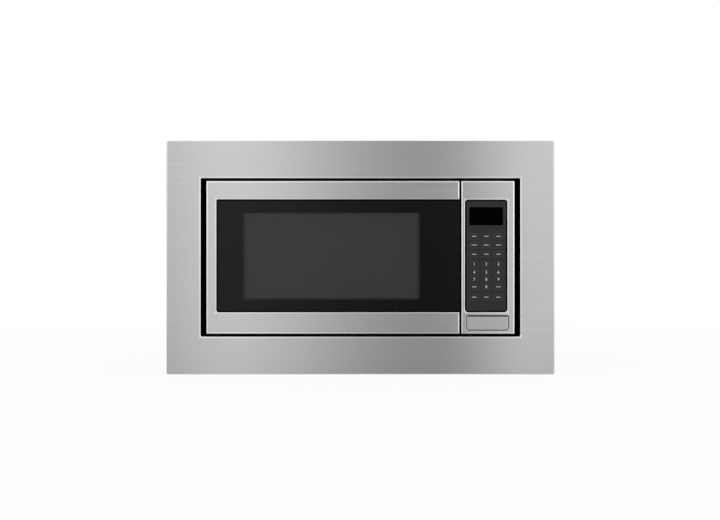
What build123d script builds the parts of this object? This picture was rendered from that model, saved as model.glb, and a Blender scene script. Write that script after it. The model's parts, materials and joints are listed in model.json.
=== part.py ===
from build123d import *

import math
import os

# Built-in microwave oven with a trim kit, as an assembly of separate pieces, in millimetres.
# +X runs to the right, +Y into the cabinet and +Z up, as seen by someone in front of the oven.
# The origin is on the cabinet's front face (Y = 0), at the height of its shelf (Z = 0), in the middle.

# Oven cavity, which drives the rest
CAVITY_WIDTH = 390.0
CAVITY_HEIGHT = 216.0
CAVITY_DEPTH = 366.0
CAVITY_SHEET = 1.0
CAVITY_CORNER = 8.0

# Door, measured from the cavity's edges
DOOR_LEFT_MARGIN = 47.6
DOOR_RIGHT_MARGIN = 54.5
DOOR_TOP_MARGIN = 37.0
DOOR_BOTTOM_MARGIN = 44.0
DOOR_DEPTH = 36.0
DOOR_EDGE_DEPTH = 28.0
SEAL_GAP = 2.0

# Front, door and control panel side by side in the trim
DOOR_GAP = 3.5
PANEL_WIDTH = 103.6
SIDE_GAP = 11.2
TOP_GAP = 5.3
FRONT_PROUD = 4.0
FACE_SHEET = 0.8
FACE_RETURN = 10.0
FACE_EDGE_RADIUS = 2.2
LIP_DEPTH = 2.0
LIP_RADIUS = 1.6

# Trim frame
TRIM_SIDE_BORDER = 67.2
TRIM_TOP_BORDER = 74.4
TRIM_DEPTH = 20.0
TRIM_SHEET = 1.2
TRIM_LIP = 20.0
TRIM_FLANGE = 16.0
TRIM_CORNER = 3.0
TRIM_EDGE_RADIUS = 2.4
TRIM_DROP = 16.7

# Case round the works
CASE_SIDE_MARGIN = 2.0
CASE_TOP_MARGIN = 5.5
CASE_SHEET = 1.0
CASE_BEND = 4.0
PLATE_SHEET = 1.2
REAR_SPACE = 37.0
REAR_SHEET = 1.0
BASE_SHEET = 1.0
BASE_FLANGE = 12.0

# Supports and brackets
FOOT_HEIGHT = 11.5
FOOT_RADIUS = 13.0
FOOT_INSET_X = 73.0
FOOT_INSET_Y = 45.0
RAIL_SHEET = 1.5
RAIL_WIDTH = 50.0
RAIL_FLANGE = 16.0
RAIL_END_INSET = 18.0
RAIL_HOLE_RADIUS = 2.5
RAIL_HOLE_INSET = 34.0
RAIL_HOLE_FROM_WEB = 9.6
BRACKET_SHEET = 1.5
BRACKET_LEG = 62.0
BRACKET_JOG = 12.0
BRACKET_BEND = 3.0
FILLER_SHEET = 1.0
FILLER_LEG = 10.0
BRACKET_SCREW_DEPTH = 49.2
BRACKET_SCREW_RISE = 107.0
REAR_SCREW_INSET = 14.0
REAR_SCREW_MARGIN = 24.0
SCREW_RADIUS = 2.0
SCREW_HEAD_RADIUS = 4.0
SCREW_HEAD_HEIGHT = 2.2
SCREW_LENGTH = 9.0
SCREW_CLEARANCE = 0.15

# Fits
SLIDE_CLEARANCE = 0.3
RUNNING_CLEARANCE = 0.06
SEAT_CLEARANCE = 0.05

# Door pieces
SKIN_TOP = 36.2
SKIN_LEFT = 19.8
SKIN_BOTTOM = 42.0
GLASS_THICKNESS = 4.0
GLASS_SETBACK = 0.8
GLASS_GAP = 0.9
GLASS_CORNER = 4.0
GLASS_LIP = 1.2
CARRIER_WALL = 2.5
CHOKE_MARGIN = 6.0
CHOKE_WIDTH = 18.0
CHOKE_SHEET = 1.0
CHOKE_FLOOR_DEPTH = 10.0
SCREEN_SETBACK = 3.0
COVER_THICKNESS = 3.0
COVER_EDGE = 3.0
FILM_THICKNESS = 0.5
WINDOW_WIDTH = 342.0
WINDOW_HEIGHT = 168.0

# Door hinge
HINGE_FROM_EDGE = 14.0
HINGE_FROM_FACE = 18.0
HINGE_SHEET = 2.0
HINGE_GAP = 1.5
HINGE_ARM_WIDTH = 26.0
HINGE_NOSE_RADIUS = 8.0
HINGE_LEG = 26.0
PIN_RADIUS = 3.0
PIN_LENGTH = 11.0
BUSH_RADIUS = 5.0
BUSH_LENGTH = 12.5
BUSH_FLANGE_RADIUS = 7.0
BUSH_FLANGE = 0.9

# Latch: hooks on the door, keeper and switches behind the front plate, lever under the hook
HOOK_FROM_EDGE = 21.5
HOOK_WIDTH = 6.0
HOOK_HEIGHT = 10.0
HOOK_REACH = 38.0
HOOK_SPACING = 164.0
HOOK_LOW_RISE = 70.0
HOOK_BAR_DEPTH = 8.0
HOOK_BAR_SETBACK = 2.0
BARB_DROP = 6.0
BARB_LENGTH = 10.0
LIFT_TRAVEL = 7.0
LUG_WIDTH = 6.0
LUG_HEIGHT = 4.0
LATCH_WALL = 3.0
KEEPER_GAP = 0.5
HOOK_WINDOW_MARGIN = 1.5
SWITCH_HEIGHT = 28.0
SWITCH_DEPTH = 16.0
SWITCH_WIDTH = 7.8
SWITCH_SPLIT = 0.2
SWITCH_CORNER = 1.5
TAB_LENGTH = 6.0
TAB_WIDTH = 4.8
TAB_SHEET = 0.8
TAB_SPACING = 17.0
PLUNGER_WIDTH = 3.0
PLUNGER_TRAVEL = 1.5
PLUNGER_LENGTH = 3.2
PLUNGER_CLEARANCE = 0.1
LEVER_PIVOT_RISE = 7.5
LEVER_REACH = 36.0
LEVER_TIP_RADIUS = 3.0
LEVER_ARM_WIDTH = 8.0
LEVER_SHAFT_RADIUS = 4.0
LEVER_FREE_PLAY = 1.0
LEVER_EYE = 9.0
LEVER_SIDE_GAP = 1.0
LEVER_OVERREACH = 2.0
LUG_RISE = 2.0

# Control panel
KEYPAD_WIDTH = 81.4
KEYPAD_ABOVE_BUTTON = 8.0
KEYPAD_FROM_LEFT = 7.5
KEYPAD_FROM_TOP = 37.2
KEYPAD_THICKNESS = 0.6
KEYPAD_CORNER = 5.5
DISPLAY_WIDTH = 65.0
DISPLAY_HEIGHT = 34.7
DISPLAY_FROM_KEYPAD_TOP = 13.9
LENS_THICKNESS = 2.0
DISPLAY_FRAME = 2.0
BUTTON_WIDTH = 81.4
BUTTON_HEIGHT = 27.0
BUTTON_GAP = 1.2
BUTTON_FROM_LEFT = 10.1
BUTTON_FROM_BOTTOM = 7.5
BUTTON_CORNER = 4.5
BUTTON_EDGE_RADIUS = 1.4
BUTTON_TRAVEL = 6.0
BUTTON_WALL = 2.0
POST_RADIUS = 4.0
POST_NOSE = 3.5
POST_CLEARANCE = 0.5
POST_RISE = 4.5
POST_FROM_LEFT = 12.0
PANEL_WALL = 2.0
PANEL_FRONT_WALL = 2.5
PANEL_NECK_INSET = 5.0
PANEL_NECK_DEPTH = 26.0
TUNNEL_DEPTH = 16.0
BOARD_WIDTH = 84.0
BOARD_ABOVE_BUTTON = 4.0
BOARD_ABOVE_KEYPAD = 2.0
BOARD_POST_RADIUS = 3.0
BOARD_POST_INSET = 5.5
RELAY_COUNT = 3
RELAY_WIDTH = 16.0
RELAY_HEIGHT = 20.0
RELAY_PITCH = 22.0
RELAY_RISE = 60.0
MAINS_BLOCK_WIDTH = 38.0
MAINS_BLOCK_HEIGHT = 32.0
MAINS_BLOCK_DEPTH = 24.0
MAINS_BLOCK_RISE = 110.0
CONNECTOR_WIDTH = 10.0
CONNECTOR_HEIGHT = 44.0
CONNECTOR_DEPTH = 9.0
BOARD_THICKNESS = 1.6
BOARD_STANDOFF = 9.0
SPRING_WIRE = 0.8
SPRING_RADIUS = 5.2
SPRING_TURNS = 5
WIRE_SIDES = 5
SPRING_SEAT = 2.0
LEG_WIDTH = 8.0
LEG_LENGTH = 3.0
LEG_BARB = 0.8

# Turntable
WELL_RADIUS = 125.0
WELL_DEPTH = 3.0
TRAY_RADIUS = 168.0
TRAY_THICKNESS = 5.0
TRAY_RIM = 9.0
TRAY_GAP = 0.3
WHEEL_RADIUS = 8.0
WHEEL_WIDTH = 7.0
WHEEL_TRACK_RADIUS = 108.0
WHEEL_COUNT = 3
AXLE_RADIUS = 2.0
AXLE_HEAD = 1.5
RING_WIDTH = 7.0
RING_HEIGHT = 5.0
SHAFT_RADIUS = 3.0
COUPLER_RADIUS = 16.0
COUPLER_LOBE_WIDTH = 10.0
COUPLER_LOBE_HEIGHT = 7.0
COUPLER_HUB_RADIUS = 8.0
MOTOR_RADIUS = 25.0
MOTOR_HEIGHT = 17.0
MOTOR_EAR = 12.0
MOTOR_PLATE = 1.0
MOTOR_FLOOR = 3.0
MOTOR_PLUG_WIDTH = 18.0
MOTOR_PLUG_DEPTH = 16.0
MOTOR_PLUG_HEIGHT = 9.0
SHAFT_SEAT = 3.0
TRAY_LUG_RADIUS = 2.5
TRAY_LUG_HEIGHT = 3.5
FLOOR_HOLE_RADIUS = 10.0

# Microwave source and its supply
GUIDE_DEPTH = 34.0
GUIDE_LENGTH = 96.0
GUIDE_HEIGHT = 100.0
GUIDE_SHEET = 1.0
GUIDE_FROM_TOP = 14.0
PORT_WIDTH = 84.0
PORT_HEIGHT = 46.0
MICA_THICKNESS = 0.5
MICA_MARGIN = 8.0
YOKE_WIDTH = 58.0
YOKE_HEIGHT = 80.0
YOKE_DEPTH = 80.0
YOKE_SHEET = 1.6
ANODE_RADIUS = 19.0
MAGNET_RADIUS = 27.0
MAGNET_HEIGHT = 11.0
ANTENNA_RADIUS = 7.0
ANTENNA_LENGTH = 22.0
FIN_COUNT = 6
FIN_SHEET = 0.6
FILTER_BOX = 28.0
ANTENNA_CLEARANCE = 3.0
PORT_CORNER = 4.0
CUTOUT_RADIUS = 9.0
CUTOUT_HEIGHT = 8.0
CUTOUT_TAB_WIDTH = 14.0
CUTOUT_TAB_DEPTH = 6.0
CUTOUT_TAB_HEIGHT = 7.0
CORE_DEPTH = 100.0
CORE_HEIGHT = 80.0
CORE_STACK = 58.0
CORE_LEG = 34.0
CORE_SIDE_LEG = 15.0
CORE_YOKE = 15.0
COIL_GAP = 0.5
CORE_FROM_REAR = 128.0
CORE_FROM_SIDE = 26.0
CAPACITOR_WIDTH = 50.0
CAPACITOR_THICKNESS = 32.0
CAPACITOR_LENGTH = 92.0
CAPACITOR_FROM_SIDE = 22.0
CAPACITOR_FORWARD = 76.0
TERMINAL_SPACING = 20.0
TERMINAL_LENGTH = 10.0
CLAMP_SHEET = 1.0
CLAMP_WIDTH = 16.0
CLAMP_FOOT = 20.0
DIODE_RADIUS = 4.0
DIODE_LENGTH = 26.0
DIODE_LUG = 8.0
FILTER_WIDTH = 50.0
FILTER_LENGTH = 64.0
FILTER_FROM_WALL = 10.0
FILTER_FROM_BACK = 90.0
FILTER_STANDOFF = 8.0
FILTER_POST_INSET = 5.0
FILTER_COIL_RADIUS = 13.0
FILTER_COIL_HEIGHT = 20.0
FUSE_LENGTH = 34.0
FUSE_WIDTH = 8.0

# Cooling fan
FAN_RADIUS = 54.0
FAN_HUB_RADIUS = 12.0
FAN_BLADE_COUNT = 5
FAN_DEPTH = 18.0
FAN_TIP_GAP = 3.0
FAN_RING_WALL = 2.5
FAN_RING_DEPTH = 26.0
FAN_PLATE = 2.0
FAN_SHAFT_RADIUS = 2.5
FAN_RISE = 20.0
SPIDER_WIDTH = 12.0
SPIDER_DEPTH = 4.0
FAN_CORE_WIDTH = 52.0
FAN_CORE_HEIGHT = 60.0
FAN_CORE_DEPTH = 18.0
FAN_CORE_DROP = 11.0
FAN_CORE_WALL = 13.0
FAN_CORNER = 6.0
FAN_PLATE_MARGIN = 5.0
FAN_COIL_HEIGHT = 22.0
FAN_COIL_DEPTH = 6.0
FAN_BEARING_RADIUS = 9.0
FAN_BEARING_DEPTH = 8.0
FAN_BORE_GAP = 1.0
FAN_FRONT_GAP = 4.0
FAN_CAP = 3.0
BLADE_THICKNESS = 1.6
BLADE_ROOT_CHORD = 20.0
BLADE_TIP_CHORD = 30.0
BLADE_ROOT_PITCH = 38.0
BLADE_TIP_PITCH = 22.0
BLADE_SINK = 2.0

# Vents and the lamp
VENT_SLOT_WIDTH = 4.0
VENT_SLOT_LENGTH = 40.0
VENT_PITCH = 10.0
BASE_VENT_ROWS = 8
FAN_VENT_ROWS = 9
ROOF_VENT_ROWS = 5
ROOF_VENT_COLUMNS = 3
BASE_VENT_FORWARD = 60.0
ROOF_VENT_INSET = 76.0
ROOF_VENT_DROP = 40.0
GLAND_INSET = 46.0
GLAND_RISE = 36.0
GLAND_RADIUS = 9.0
GLAND_FLANGE_RADIUS = 13.0
GLAND_BORE_RADIUS = 4.5
GLAND_FLANGE = 4.0
GLAND_CATCH = 1.5
LAMP_RADIUS = 11.0
LAMP_NECK_RADIUS = 7.5
LAMP_LENGTH = 25.0
LAMP_BOX = 36.0
LAMP_BOX_DEPTH = 30.0
LAMP_BOX_WALL = 2.0
LAMP_FROM_BACK = 52.0
LAMP_HOLE_RADIUS = 9.0

# Places worked out from the sizes
DOOR_WIDTH = DOOR_LEFT_MARGIN + CAVITY_WIDTH + DOOR_RIGHT_MARGIN
FRONT_WIDTH = DOOR_WIDTH + DOOR_GAP + PANEL_WIDTH
FRONT_HEIGHT = DOOR_BOTTOM_MARGIN + CAVITY_HEIGHT + DOOR_TOP_MARGIN
OPENING_WIDTH = FRONT_WIDTH + 2 * SIDE_GAP
OPENING_HEIGHT = FRONT_HEIGHT + 2 * TOP_GAP
TRIM_WIDTH = OPENING_WIDTH + 2 * TRIM_SIDE_BORDER
TRIM_HEIGHT = OPENING_HEIGHT + 2 * TRIM_TOP_BORDER

MID_Z = TRIM_HEIGHT / 2 - TRIM_DROP
FRONT_BOTTOM = MID_Z - FRONT_HEIGHT / 2
FRONT_TOP = MID_Z + FRONT_HEIGHT / 2
DOOR_LEFT = -FRONT_WIDTH / 2
DOOR_RIGHT = DOOR_LEFT + DOOR_WIDTH
PANEL_LEFT = DOOR_RIGHT + DOOR_GAP
PANEL_RIGHT = FRONT_WIDTH / 2

TRIM_Y = -TRIM_DEPTH
FACE_Y = TRIM_Y - FRONT_PROUD
DOOR_BACK_Y = FACE_Y + DOOR_DEPTH
DOOR_EDGE_Y = FACE_Y + DOOR_EDGE_DEPTH
PLATE_Y = DOOR_BACK_Y + SEAL_GAP
CAVITY_FRONT_Y = PLATE_Y + PLATE_SHEET
CAVITY_BACK_Y = CAVITY_FRONT_Y + CAVITY_DEPTH
CASE_BACK_Y = CAVITY_BACK_Y + CAVITY_SHEET + REAR_SPACE

CAVITY_LEFT = DOOR_LEFT + DOOR_LEFT_MARGIN
CAVITY_RIGHT = CAVITY_LEFT + CAVITY_WIDTH
CAVITY_X = (CAVITY_LEFT + CAVITY_RIGHT) / 2
CAVITY_Y = (CAVITY_FRONT_Y + CAVITY_BACK_Y) / 2
FLOOR_Z = FRONT_BOTTOM + DOOR_BOTTOM_MARGIN
ROOF_Z = FLOOR_Z + CAVITY_HEIGHT
CAVITY_Z = (FLOOR_Z + ROOF_Z) / 2

CASE_LEFT = DOOR_LEFT - CASE_SIDE_MARGIN
CASE_RIGHT = PANEL_RIGHT + CASE_SIDE_MARGIN
CASE_BOTTOM = FRONT_BOTTOM - CASE_TOP_MARGIN
CASE_TOP = FRONT_TOP + CASE_TOP_MARGIN
BASE_TOP = CASE_BOTTOM + BASE_SHEET

HINGE_X = DOOR_LEFT + HINGE_FROM_EDGE
HINGE_Y = FACE_Y + HINGE_FROM_FACE

HOOK_X0 = DOOR_RIGHT - HOOK_FROM_EDGE - HOOK_WIDTH / 2
HOOK_X1 = HOOK_X0 + HOOK_WIDTH
LUG_X1 = HOOK_X1 + LUG_WIDTH
HOOK_LOW_Z = FRONT_BOTTOM + HOOK_LOW_RISE
HOOK_TIP_Y = DOOR_BACK_Y + HOOK_REACH
HOOK_BAR_Y = DOOR_EDGE_Y - HOOK_BAR_SETBACK
LATCH_Y = PLATE_Y + PLATE_SHEET

BUTTON_LEFT = PANEL_LEFT + BUTTON_FROM_LEFT
BUTTON_BOTTOM = FRONT_BOTTOM + BUTTON_FROM_BOTTOM
BUTTON_X = BUTTON_LEFT + BUTTON_WIDTH / 2
BUTTON_Z = BUTTON_BOTTOM + BUTTON_HEIGHT / 2
POST_X = BUTTON_LEFT + POST_FROM_LEFT
POST_Z = BUTTON_Z + POST_RISE
KEYPAD_LEFT = PANEL_LEFT + KEYPAD_FROM_LEFT
KEYPAD_TOP = FRONT_TOP - KEYPAD_FROM_TOP
BUTTON_TOP = BUTTON_BOTTOM + BUTTON_HEIGHT
KEYPAD_BOTTOM = BUTTON_TOP + KEYPAD_ABOVE_BUTTON
BOARD_BOTTOM = BUTTON_TOP + BOARD_ABOVE_BUTTON
BOARD_TOP = KEYPAD_TOP + BOARD_ABOVE_KEYPAD
KEYPAD_X = KEYPAD_LEFT + KEYPAD_WIDTH / 2
DISPLAY_TOP = KEYPAD_TOP - DISPLAY_FROM_KEYPAD_TOP
DISPLAY_Z = DISPLAY_TOP - DISPLAY_HEIGHT / 2
PANEL_FACE_BACK = FACE_Y + FACE_SHEET
LIP_BACK_Y = FACE_Y + LIP_DEPTH
FACE_INNER_RADIUS = FACE_EDGE_RADIUS - FACE_SHEET
PANEL_INNER_Y = PANEL_FACE_BACK + PANEL_FRONT_WALL
TUNNEL_BACK_Y = PANEL_FACE_BACK + TUNNEL_DEPTH
SKIRT_BACK_Y = TUNNEL_BACK_Y - BUTTON_TRAVEL - SLIDE_CLEARANCE
BOARD_Y = PANEL_INNER_Y + BOARD_STANDOFF

LEVER_Z = BASE_TOP + LEVER_PIVOT_RISE
LUG_Z = HOOK_LOW_Z - HOOK_HEIGHT / 2 + LUG_RISE
LEVER_TIP_Z = LUG_Z - LEVER_FREE_PLAY - LEVER_TIP_RADIUS
LEVER_TIP_Y = LATCH_Y + 2 * LATCH_WALL + LEVER_TIP_RADIUS
LEVER_Y = LEVER_TIP_Y + LEVER_REACH
LEVER_PUSH_Y = LEVER_Y - LEVER_ARM_WIDTH / 2
LEVER_ANGLE = math.degrees(math.asin(BUTTON_TRAVEL / (POST_Z - LEVER_Z)))

WELL_Z = FLOOR_Z - WELL_DEPTH
WHEEL_Z = WELL_Z + TRAY_GAP + WHEEL_RADIUS
TRAY_Z = WHEEL_Z + WHEEL_RADIUS + TRAY_GAP
RING_OUTER_RADIUS = WHEEL_TRACK_RADIUS - WHEEL_WIDTH / 2 - SLIDE_CLEARANCE

WORKS_LEFT = CAVITY_RIGHT + CAVITY_SHEET
WORKS_RIGHT = CASE_RIGHT - CASE_SHEET
WORKS_X = (WORKS_LEFT + WORKS_RIGHT) / 2
GUIDE_TOP = ROOF_Z - GUIDE_FROM_TOP
GUIDE_Z = GUIDE_TOP - GUIDE_HEIGHT / 2
GUIDE_RIGHT = WORKS_LEFT + GUIDE_DEPTH
YOKE_LEFT = GUIDE_RIGHT
YOKE_RIGHT = YOKE_LEFT + YOKE_WIDTH
FAN_Z = MID_Z + FAN_RISE
REAR_INNER_Y = CASE_BACK_Y - REAR_SHEET
FAN_PLATE_Y = REAR_INNER_Y - FAN_PLATE
FAN_RING_Y = FAN_PLATE_Y - FAN_RING_DEPTH
SPIDER_Y = FAN_RING_Y - SPIDER_DEPTH


def rect(u0, u1, v0, v1, radius=0.0):
    """A rectangle between two corners, round-cornered where a radius is given."""
    shape = RectangleRounded(u1 - u0, v1 - v0, radius) if radius else Rectangle(u1 - u0, v1 - v0)
    return Pos((u0 + u1) / 2, (v0 + v1) / 2) * shape


def prism_x(face, x0, x1):
    """Extrudes a face drawn in (Y, Z) from x0 to x1."""
    return extrude(Plane.YZ.offset(x0) * face, amount=x1 - x0)


def prism_y(face, y0, y1):
    """Extrudes a face drawn in (X, Z) from y0 to y1."""
    return extrude(Plane.XZ.offset(-y1) * face, amount=y1 - y0)


def prism_z(face, z0, z1):
    """Extrudes a face drawn in (X, Y) from z0 to z1."""
    return extrude(Plane.XY.offset(z0) * face, amount=z1 - z0)


def rod_x(x0, x1, y, z, radius):
    return prism_x(Pos(y, z) * Circle(radius), x0, x1)


def rod_y(x, y0, y1, z, radius):
    return prism_y(Pos(x, z) * Circle(radius), y0, y1)


def rod_z(x, y, z0, z1, radius):
    return prism_z(Pos(x, y) * Circle(radius), z0, z1)


def bent_sheet(points, thickness, bend_radius, side=Side.LEFT):
    """Section of a folded sheet: one skin follows the points, with rounded bends."""
    path = FilletPolyline(*points, radius=bend_radius)
    return make_face(path.offset_2d(thickness, side=side))


def front_edges(solid):
    """The edges round the foremost face of a solid."""
    return solid.faces().sort_by(Axis.Y)[0].outer_wire().edges()


def bar(start, end, width):
    """A round-ended bar between two points of a sketch."""
    return SlotCenterPoint((Vector(*start) + Vector(*end)) / 2, Vector(*end), width)


def mirrored(solid):
    """The same piece on the other side of the centre line."""
    return mirror(solid, about=Plane.YZ)


# Trim kit: a folded steel frame, brackets to the case, and rails under the oven


def trim_frame():
    half_w, half_h = TRIM_WIDTH / 2, TRIM_HEIGHT / 2
    outline = Pos(0, MID_Z) * RectangleRounded(TRIM_WIDTH, TRIM_HEIGHT, TRIM_CORNER)
    pan = prism_y(outline, TRIM_Y, 0)
    pan = fillet(front_edges(pan), TRIM_EDGE_RADIUS)
    inside = Pos(0, MID_Z) * Rectangle(TRIM_WIDTH - 2 * TRIM_SHEET, TRIM_HEIGHT - 2 * TRIM_SHEET)
    back = Pos(0, MID_Z) * Rectangle(2 * (half_w - TRIM_LIP), 2 * (half_h - TRIM_LIP))
    pan -= prism_y(inside, TRIM_Y + TRIM_SHEET, -TRIM_SHEET)
    pan -= prism_y(back, -TRIM_SHEET, 0)
    collar_width, collar_height = OPENING_WIDTH + 2 * TRIM_SHEET, OPENING_HEIGHT + 2 * TRIM_SHEET
    collar = Pos(0, MID_Z) * RectangleRounded(collar_width, collar_height, TRIM_CORNER + TRIM_SHEET)
    opening = Pos(0, MID_Z) * RectangleRounded(OPENING_WIDTH, OPENING_HEIGHT, TRIM_CORNER)
    pan += prism_y(collar, TRIM_Y + TRIM_SHEET, TRIM_Y + TRIM_FLANGE)
    pan -= prism_y(opening, TRIM_Y, 0)
    rim = pan.faces().sort_by(Axis.Y)[0].inner_wires()[0].edges()
    return fillet(rim, TRIM_EDGE_RADIUS)


def screw_places():
    """Heights and depths of the screws that hold the brackets to the case."""
    depth = PLATE_Y + BRACKET_SCREW_DEPTH
    return [(depth, MID_Z + rise) for rise in (-BRACKET_SCREW_RISE, 0.0, BRACKET_SCREW_RISE)]


def screw_holes(x0, x1):
    radius = SCREW_RADIUS + SCREW_CLEARANCE
    return [rod_x(x0, x1, y, z, radius) for y, z in screw_places()]


def bracket_points():
    """Inner skin of the right-hand bracket, as (X, Y): from the trim's collar back and in to the case."""
    outside = OPENING_WIDTH / 2 + TRIM_SHEET
    jog_y = PLATE_Y + BRACKET_JOG / 2
    return [
        (outside, TRIM_Y + TRIM_SHEET),
        (outside, jog_y),
        (CASE_RIGHT, jog_y + BRACKET_JOG),
        (CASE_RIGHT, jog_y + BRACKET_JOG + BRACKET_LEG),
    ]


def collar_top():
    return MID_Z + OPENING_HEIGHT / 2 + TRIM_SHEET


def trim_bracket():
    """Right-hand bracket, as tall as the two filler strips between the brackets reach."""
    section = bent_sheet(bracket_points(), BRACKET_SHEET, BRACKET_BEND, Side.RIGHT)
    top = collar_top() + FILLER_SHEET
    bracket = prism_z(section, 2 * MID_Z - top, top)
    return bracket - screw_holes(CASE_RIGHT - 1, CASE_RIGHT + BRACKET_SHEET + 1)


def trim_filler():
    """Upper strip: closes the slot between the trim's collar and the top of the case."""
    outside = collar_top()
    jog_y = PLATE_Y + BRACKET_JOG / 2
    points = [
        (TRIM_Y + TRIM_SHEET, outside),
        (jog_y, outside),
        (jog_y + BRACKET_JOG, CASE_TOP),
        (jog_y + BRACKET_JOG + FILLER_LEG, CASE_TOP),
    ]
    half = OPENING_WIDTH / 2 + TRIM_SHEET
    strip = prism_x(bent_sheet(points, FILLER_SHEET, BRACKET_BEND), -half, half)
    skin = [(x - SLIDE_CLEARANCE, y) for x, y in bracket_points()]
    skin += [(half + BRACKET_JOG, skin[-1][1]), (half + BRACKET_JOG, skin[0][1])]
    end = prism_z(make_face(Polyline(*skin, close=True)), CASE_TOP - 1, outside + FILLER_SHEET + 1)
    return strip - end - mirrored(end)


def trim_brackets():
    bracket, filler = trim_bracket(), trim_filler()
    lower_filler = mirror(filler, about=Plane.XY.offset(MID_Z))
    return [bracket, mirrored(bracket), filler, lower_filler]


def screw(head_z):
    """A pan-head screw along +Z with the underside of its head at head_z."""
    shank = Cylinder(SCREW_RADIUS, SCREW_LENGTH, align=(Align.CENTER, Align.CENTER, Align.MAX))
    head = Cylinder(SCREW_HEAD_RADIUS, SCREW_HEAD_HEIGHT, align=(Align.CENTER, Align.CENTER, Align.MIN))
    head = chamfer(head.edges().sort_by(Axis.Z)[-1], SCREW_HEAD_HEIGHT * 0.5)
    return Pos(0, 0, head_z) * (shank + head)


def rear_screw_places():
    """Places of the screws along the rear panel's sides, as (X, Z)."""
    reach = WORKS_RIGHT - REAR_SCREW_INSET
    heights = (CASE_BOTTOM + REAR_SCREW_MARGIN, MID_Z, CASE_TOP - REAR_SCREW_MARGIN)
    return [(side * reach, z) for side in (-1, 1) for z in heights]


def cabinet_screws():
    outer = CASE_RIGHT + BRACKET_SHEET
    right = [Pos(outer, y, z) * Rot(0, 90, 0) * screw(0) for y, z in screw_places()]
    left = [mirrored(piece) for piece in right]
    rear = [Pos(x, CASE_BACK_Y, z) * Rot(-90, 0, 0) * screw(0) for x, z in rear_screw_places()]
    return right + left + rear


def base_rails():
    """Two hat-section rails that lift the oven to the middle of the trim."""
    height = CASE_BOTTOM - FOOT_HEIGHT - RAIL_SHEET
    half = RAIL_WIDTH / 2
    foot_x = CASE_RIGHT - FOOT_INSET_X
    points = [
        (foot_x - half - RAIL_FLANGE, 0),
        (foot_x - half, 0),
        (foot_x - half, height),
        (foot_x + half, height),
        (foot_x + half, 0),
        (foot_x + half + RAIL_FLANGE, 0),
    ]
    front, back = PLATE_Y + RAIL_END_INSET, CASE_BACK_Y - RAIL_END_INSET
    rail = prism_y(bent_sheet(points, RAIL_SHEET, RAIL_SHEET), front, back)
    hole_x = foot_x + half + RAIL_HOLE_FROM_WEB
    for y in (front + RAIL_HOLE_INSET, back - RAIL_HOLE_INSET):
        rail -= rod_z(hole_x, y, -1, RAIL_SHEET + 1, RAIL_HOLE_RADIUS)
    return [rail, mirrored(rail)]


def feet():
    rest = CASE_BOTTOM - FOOT_HEIGHT
    profile = Polyline(
        (0, rest),
        (FOOT_RADIUS * 0.8, rest),
        (FOOT_RADIUS, rest + FOOT_HEIGHT * 0.3),
        (FOOT_RADIUS, CASE_BOTTOM),
        (0, CASE_BOTTOM),
        close=True,
    )
    foot = revolve(Plane.XZ * make_face(profile), Axis.Z)
    x = CASE_RIGHT - FOOT_INSET_X
    places = [(sx * x, y) for sx in (-1, 1) for y in (PLATE_Y + FOOT_INSET_Y, CASE_BACK_Y - FOOT_INSET_Y)]
    return [Pos(px, py, 0) * foot for px, py in places]


# Case: folded cover, base, rear panel


def vent_grid(columns, rows, length=VENT_SLOT_LENGTH):
    """A sketch of square-ended slots in rows, centred on its origin."""
    pitch_u = length + 2 * VENT_SLOT_WIDTH
    slots = GridLocations(pitch_u, VENT_PITCH, columns, rows) * Rectangle(length, VENT_SLOT_WIDTH)
    return Sketch() + slots


def outer_case():
    left, right, top = CASE_LEFT + CASE_SHEET, CASE_RIGHT - CASE_SHEET, CASE_TOP - CASE_SHEET
    points = [(left, CASE_BOTTOM), (left, top), (right, top), (right, CASE_BOTTOM)]
    cover = prism_y(bent_sheet(points, CASE_SHEET, CASE_BEND), PLATE_Y, CASE_BACK_Y)
    holes = screw_holes(CASE_RIGHT - CASE_SHEET - 1, CASE_RIGHT + 1)
    return cover - holes - [mirrored(hole) for hole in holes]


def base_plate():
    left, right = CASE_LEFT + CASE_SHEET, CASE_RIGHT - CASE_SHEET
    rise = CASE_BOTTOM + BASE_FLANGE
    points = [(left, rise), (left, CASE_BOTTOM), (right, CASE_BOTTOM), (right, rise)]
    plate = prism_y(bent_sheet(points, BASE_SHEET, BASE_SHEET * 2), CAVITY_FRONT_Y, REAR_INNER_Y)
    vents = Pos(WORKS_X, CAVITY_Y - BASE_VENT_FORWARD) * vent_grid(1, BASE_VENT_ROWS)
    return plate - prism_z(vents, CASE_BOTTOM - 1, BASE_TOP + 1)


def rear_panel():
    left, right = CASE_LEFT + CASE_SHEET, CASE_RIGHT - CASE_SHEET
    outline = rect(left, right, CASE_BOTTOM, CASE_TOP - CASE_SHEET)
    panel = prism_y(outline, REAR_INNER_Y, CASE_BACK_Y)
    top_edges = panel.edges().filter_by(Axis.Y).sort_by(Axis.Z)[-2:]
    panel = fillet(top_edges, CASE_BEND)
    vents = Pos(WORKS_X, FAN_Z) * vent_grid(2, FAN_VENT_ROWS)
    roof_vents = vent_grid(ROOF_VENT_COLUMNS, ROOF_VENT_ROWS)
    vents += Pos(CAVITY_LEFT + ROOF_VENT_INSET, ROOF_Z - ROOF_VENT_DROP) * roof_vents
    panel -= prism_y(vents, REAR_INNER_Y - 1, CASE_BACK_Y + 1)
    gland_x, gland_z = gland_axis()
    panel -= rod_y(gland_x, REAR_INNER_Y - 1, CASE_BACK_Y + 1, gland_z, GLAND_RADIUS)
    radius = SCREW_RADIUS + SCREW_CLEARANCE
    return panel - [rod_y(x, REAR_INNER_Y - 1, CASE_BACK_Y + 1, z, radius) for x, z in rear_screw_places()]


def gland_axis():
    return WORKS_RIGHT - GLAND_INSET, CASE_BOTTOM + GLAND_RISE


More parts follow.
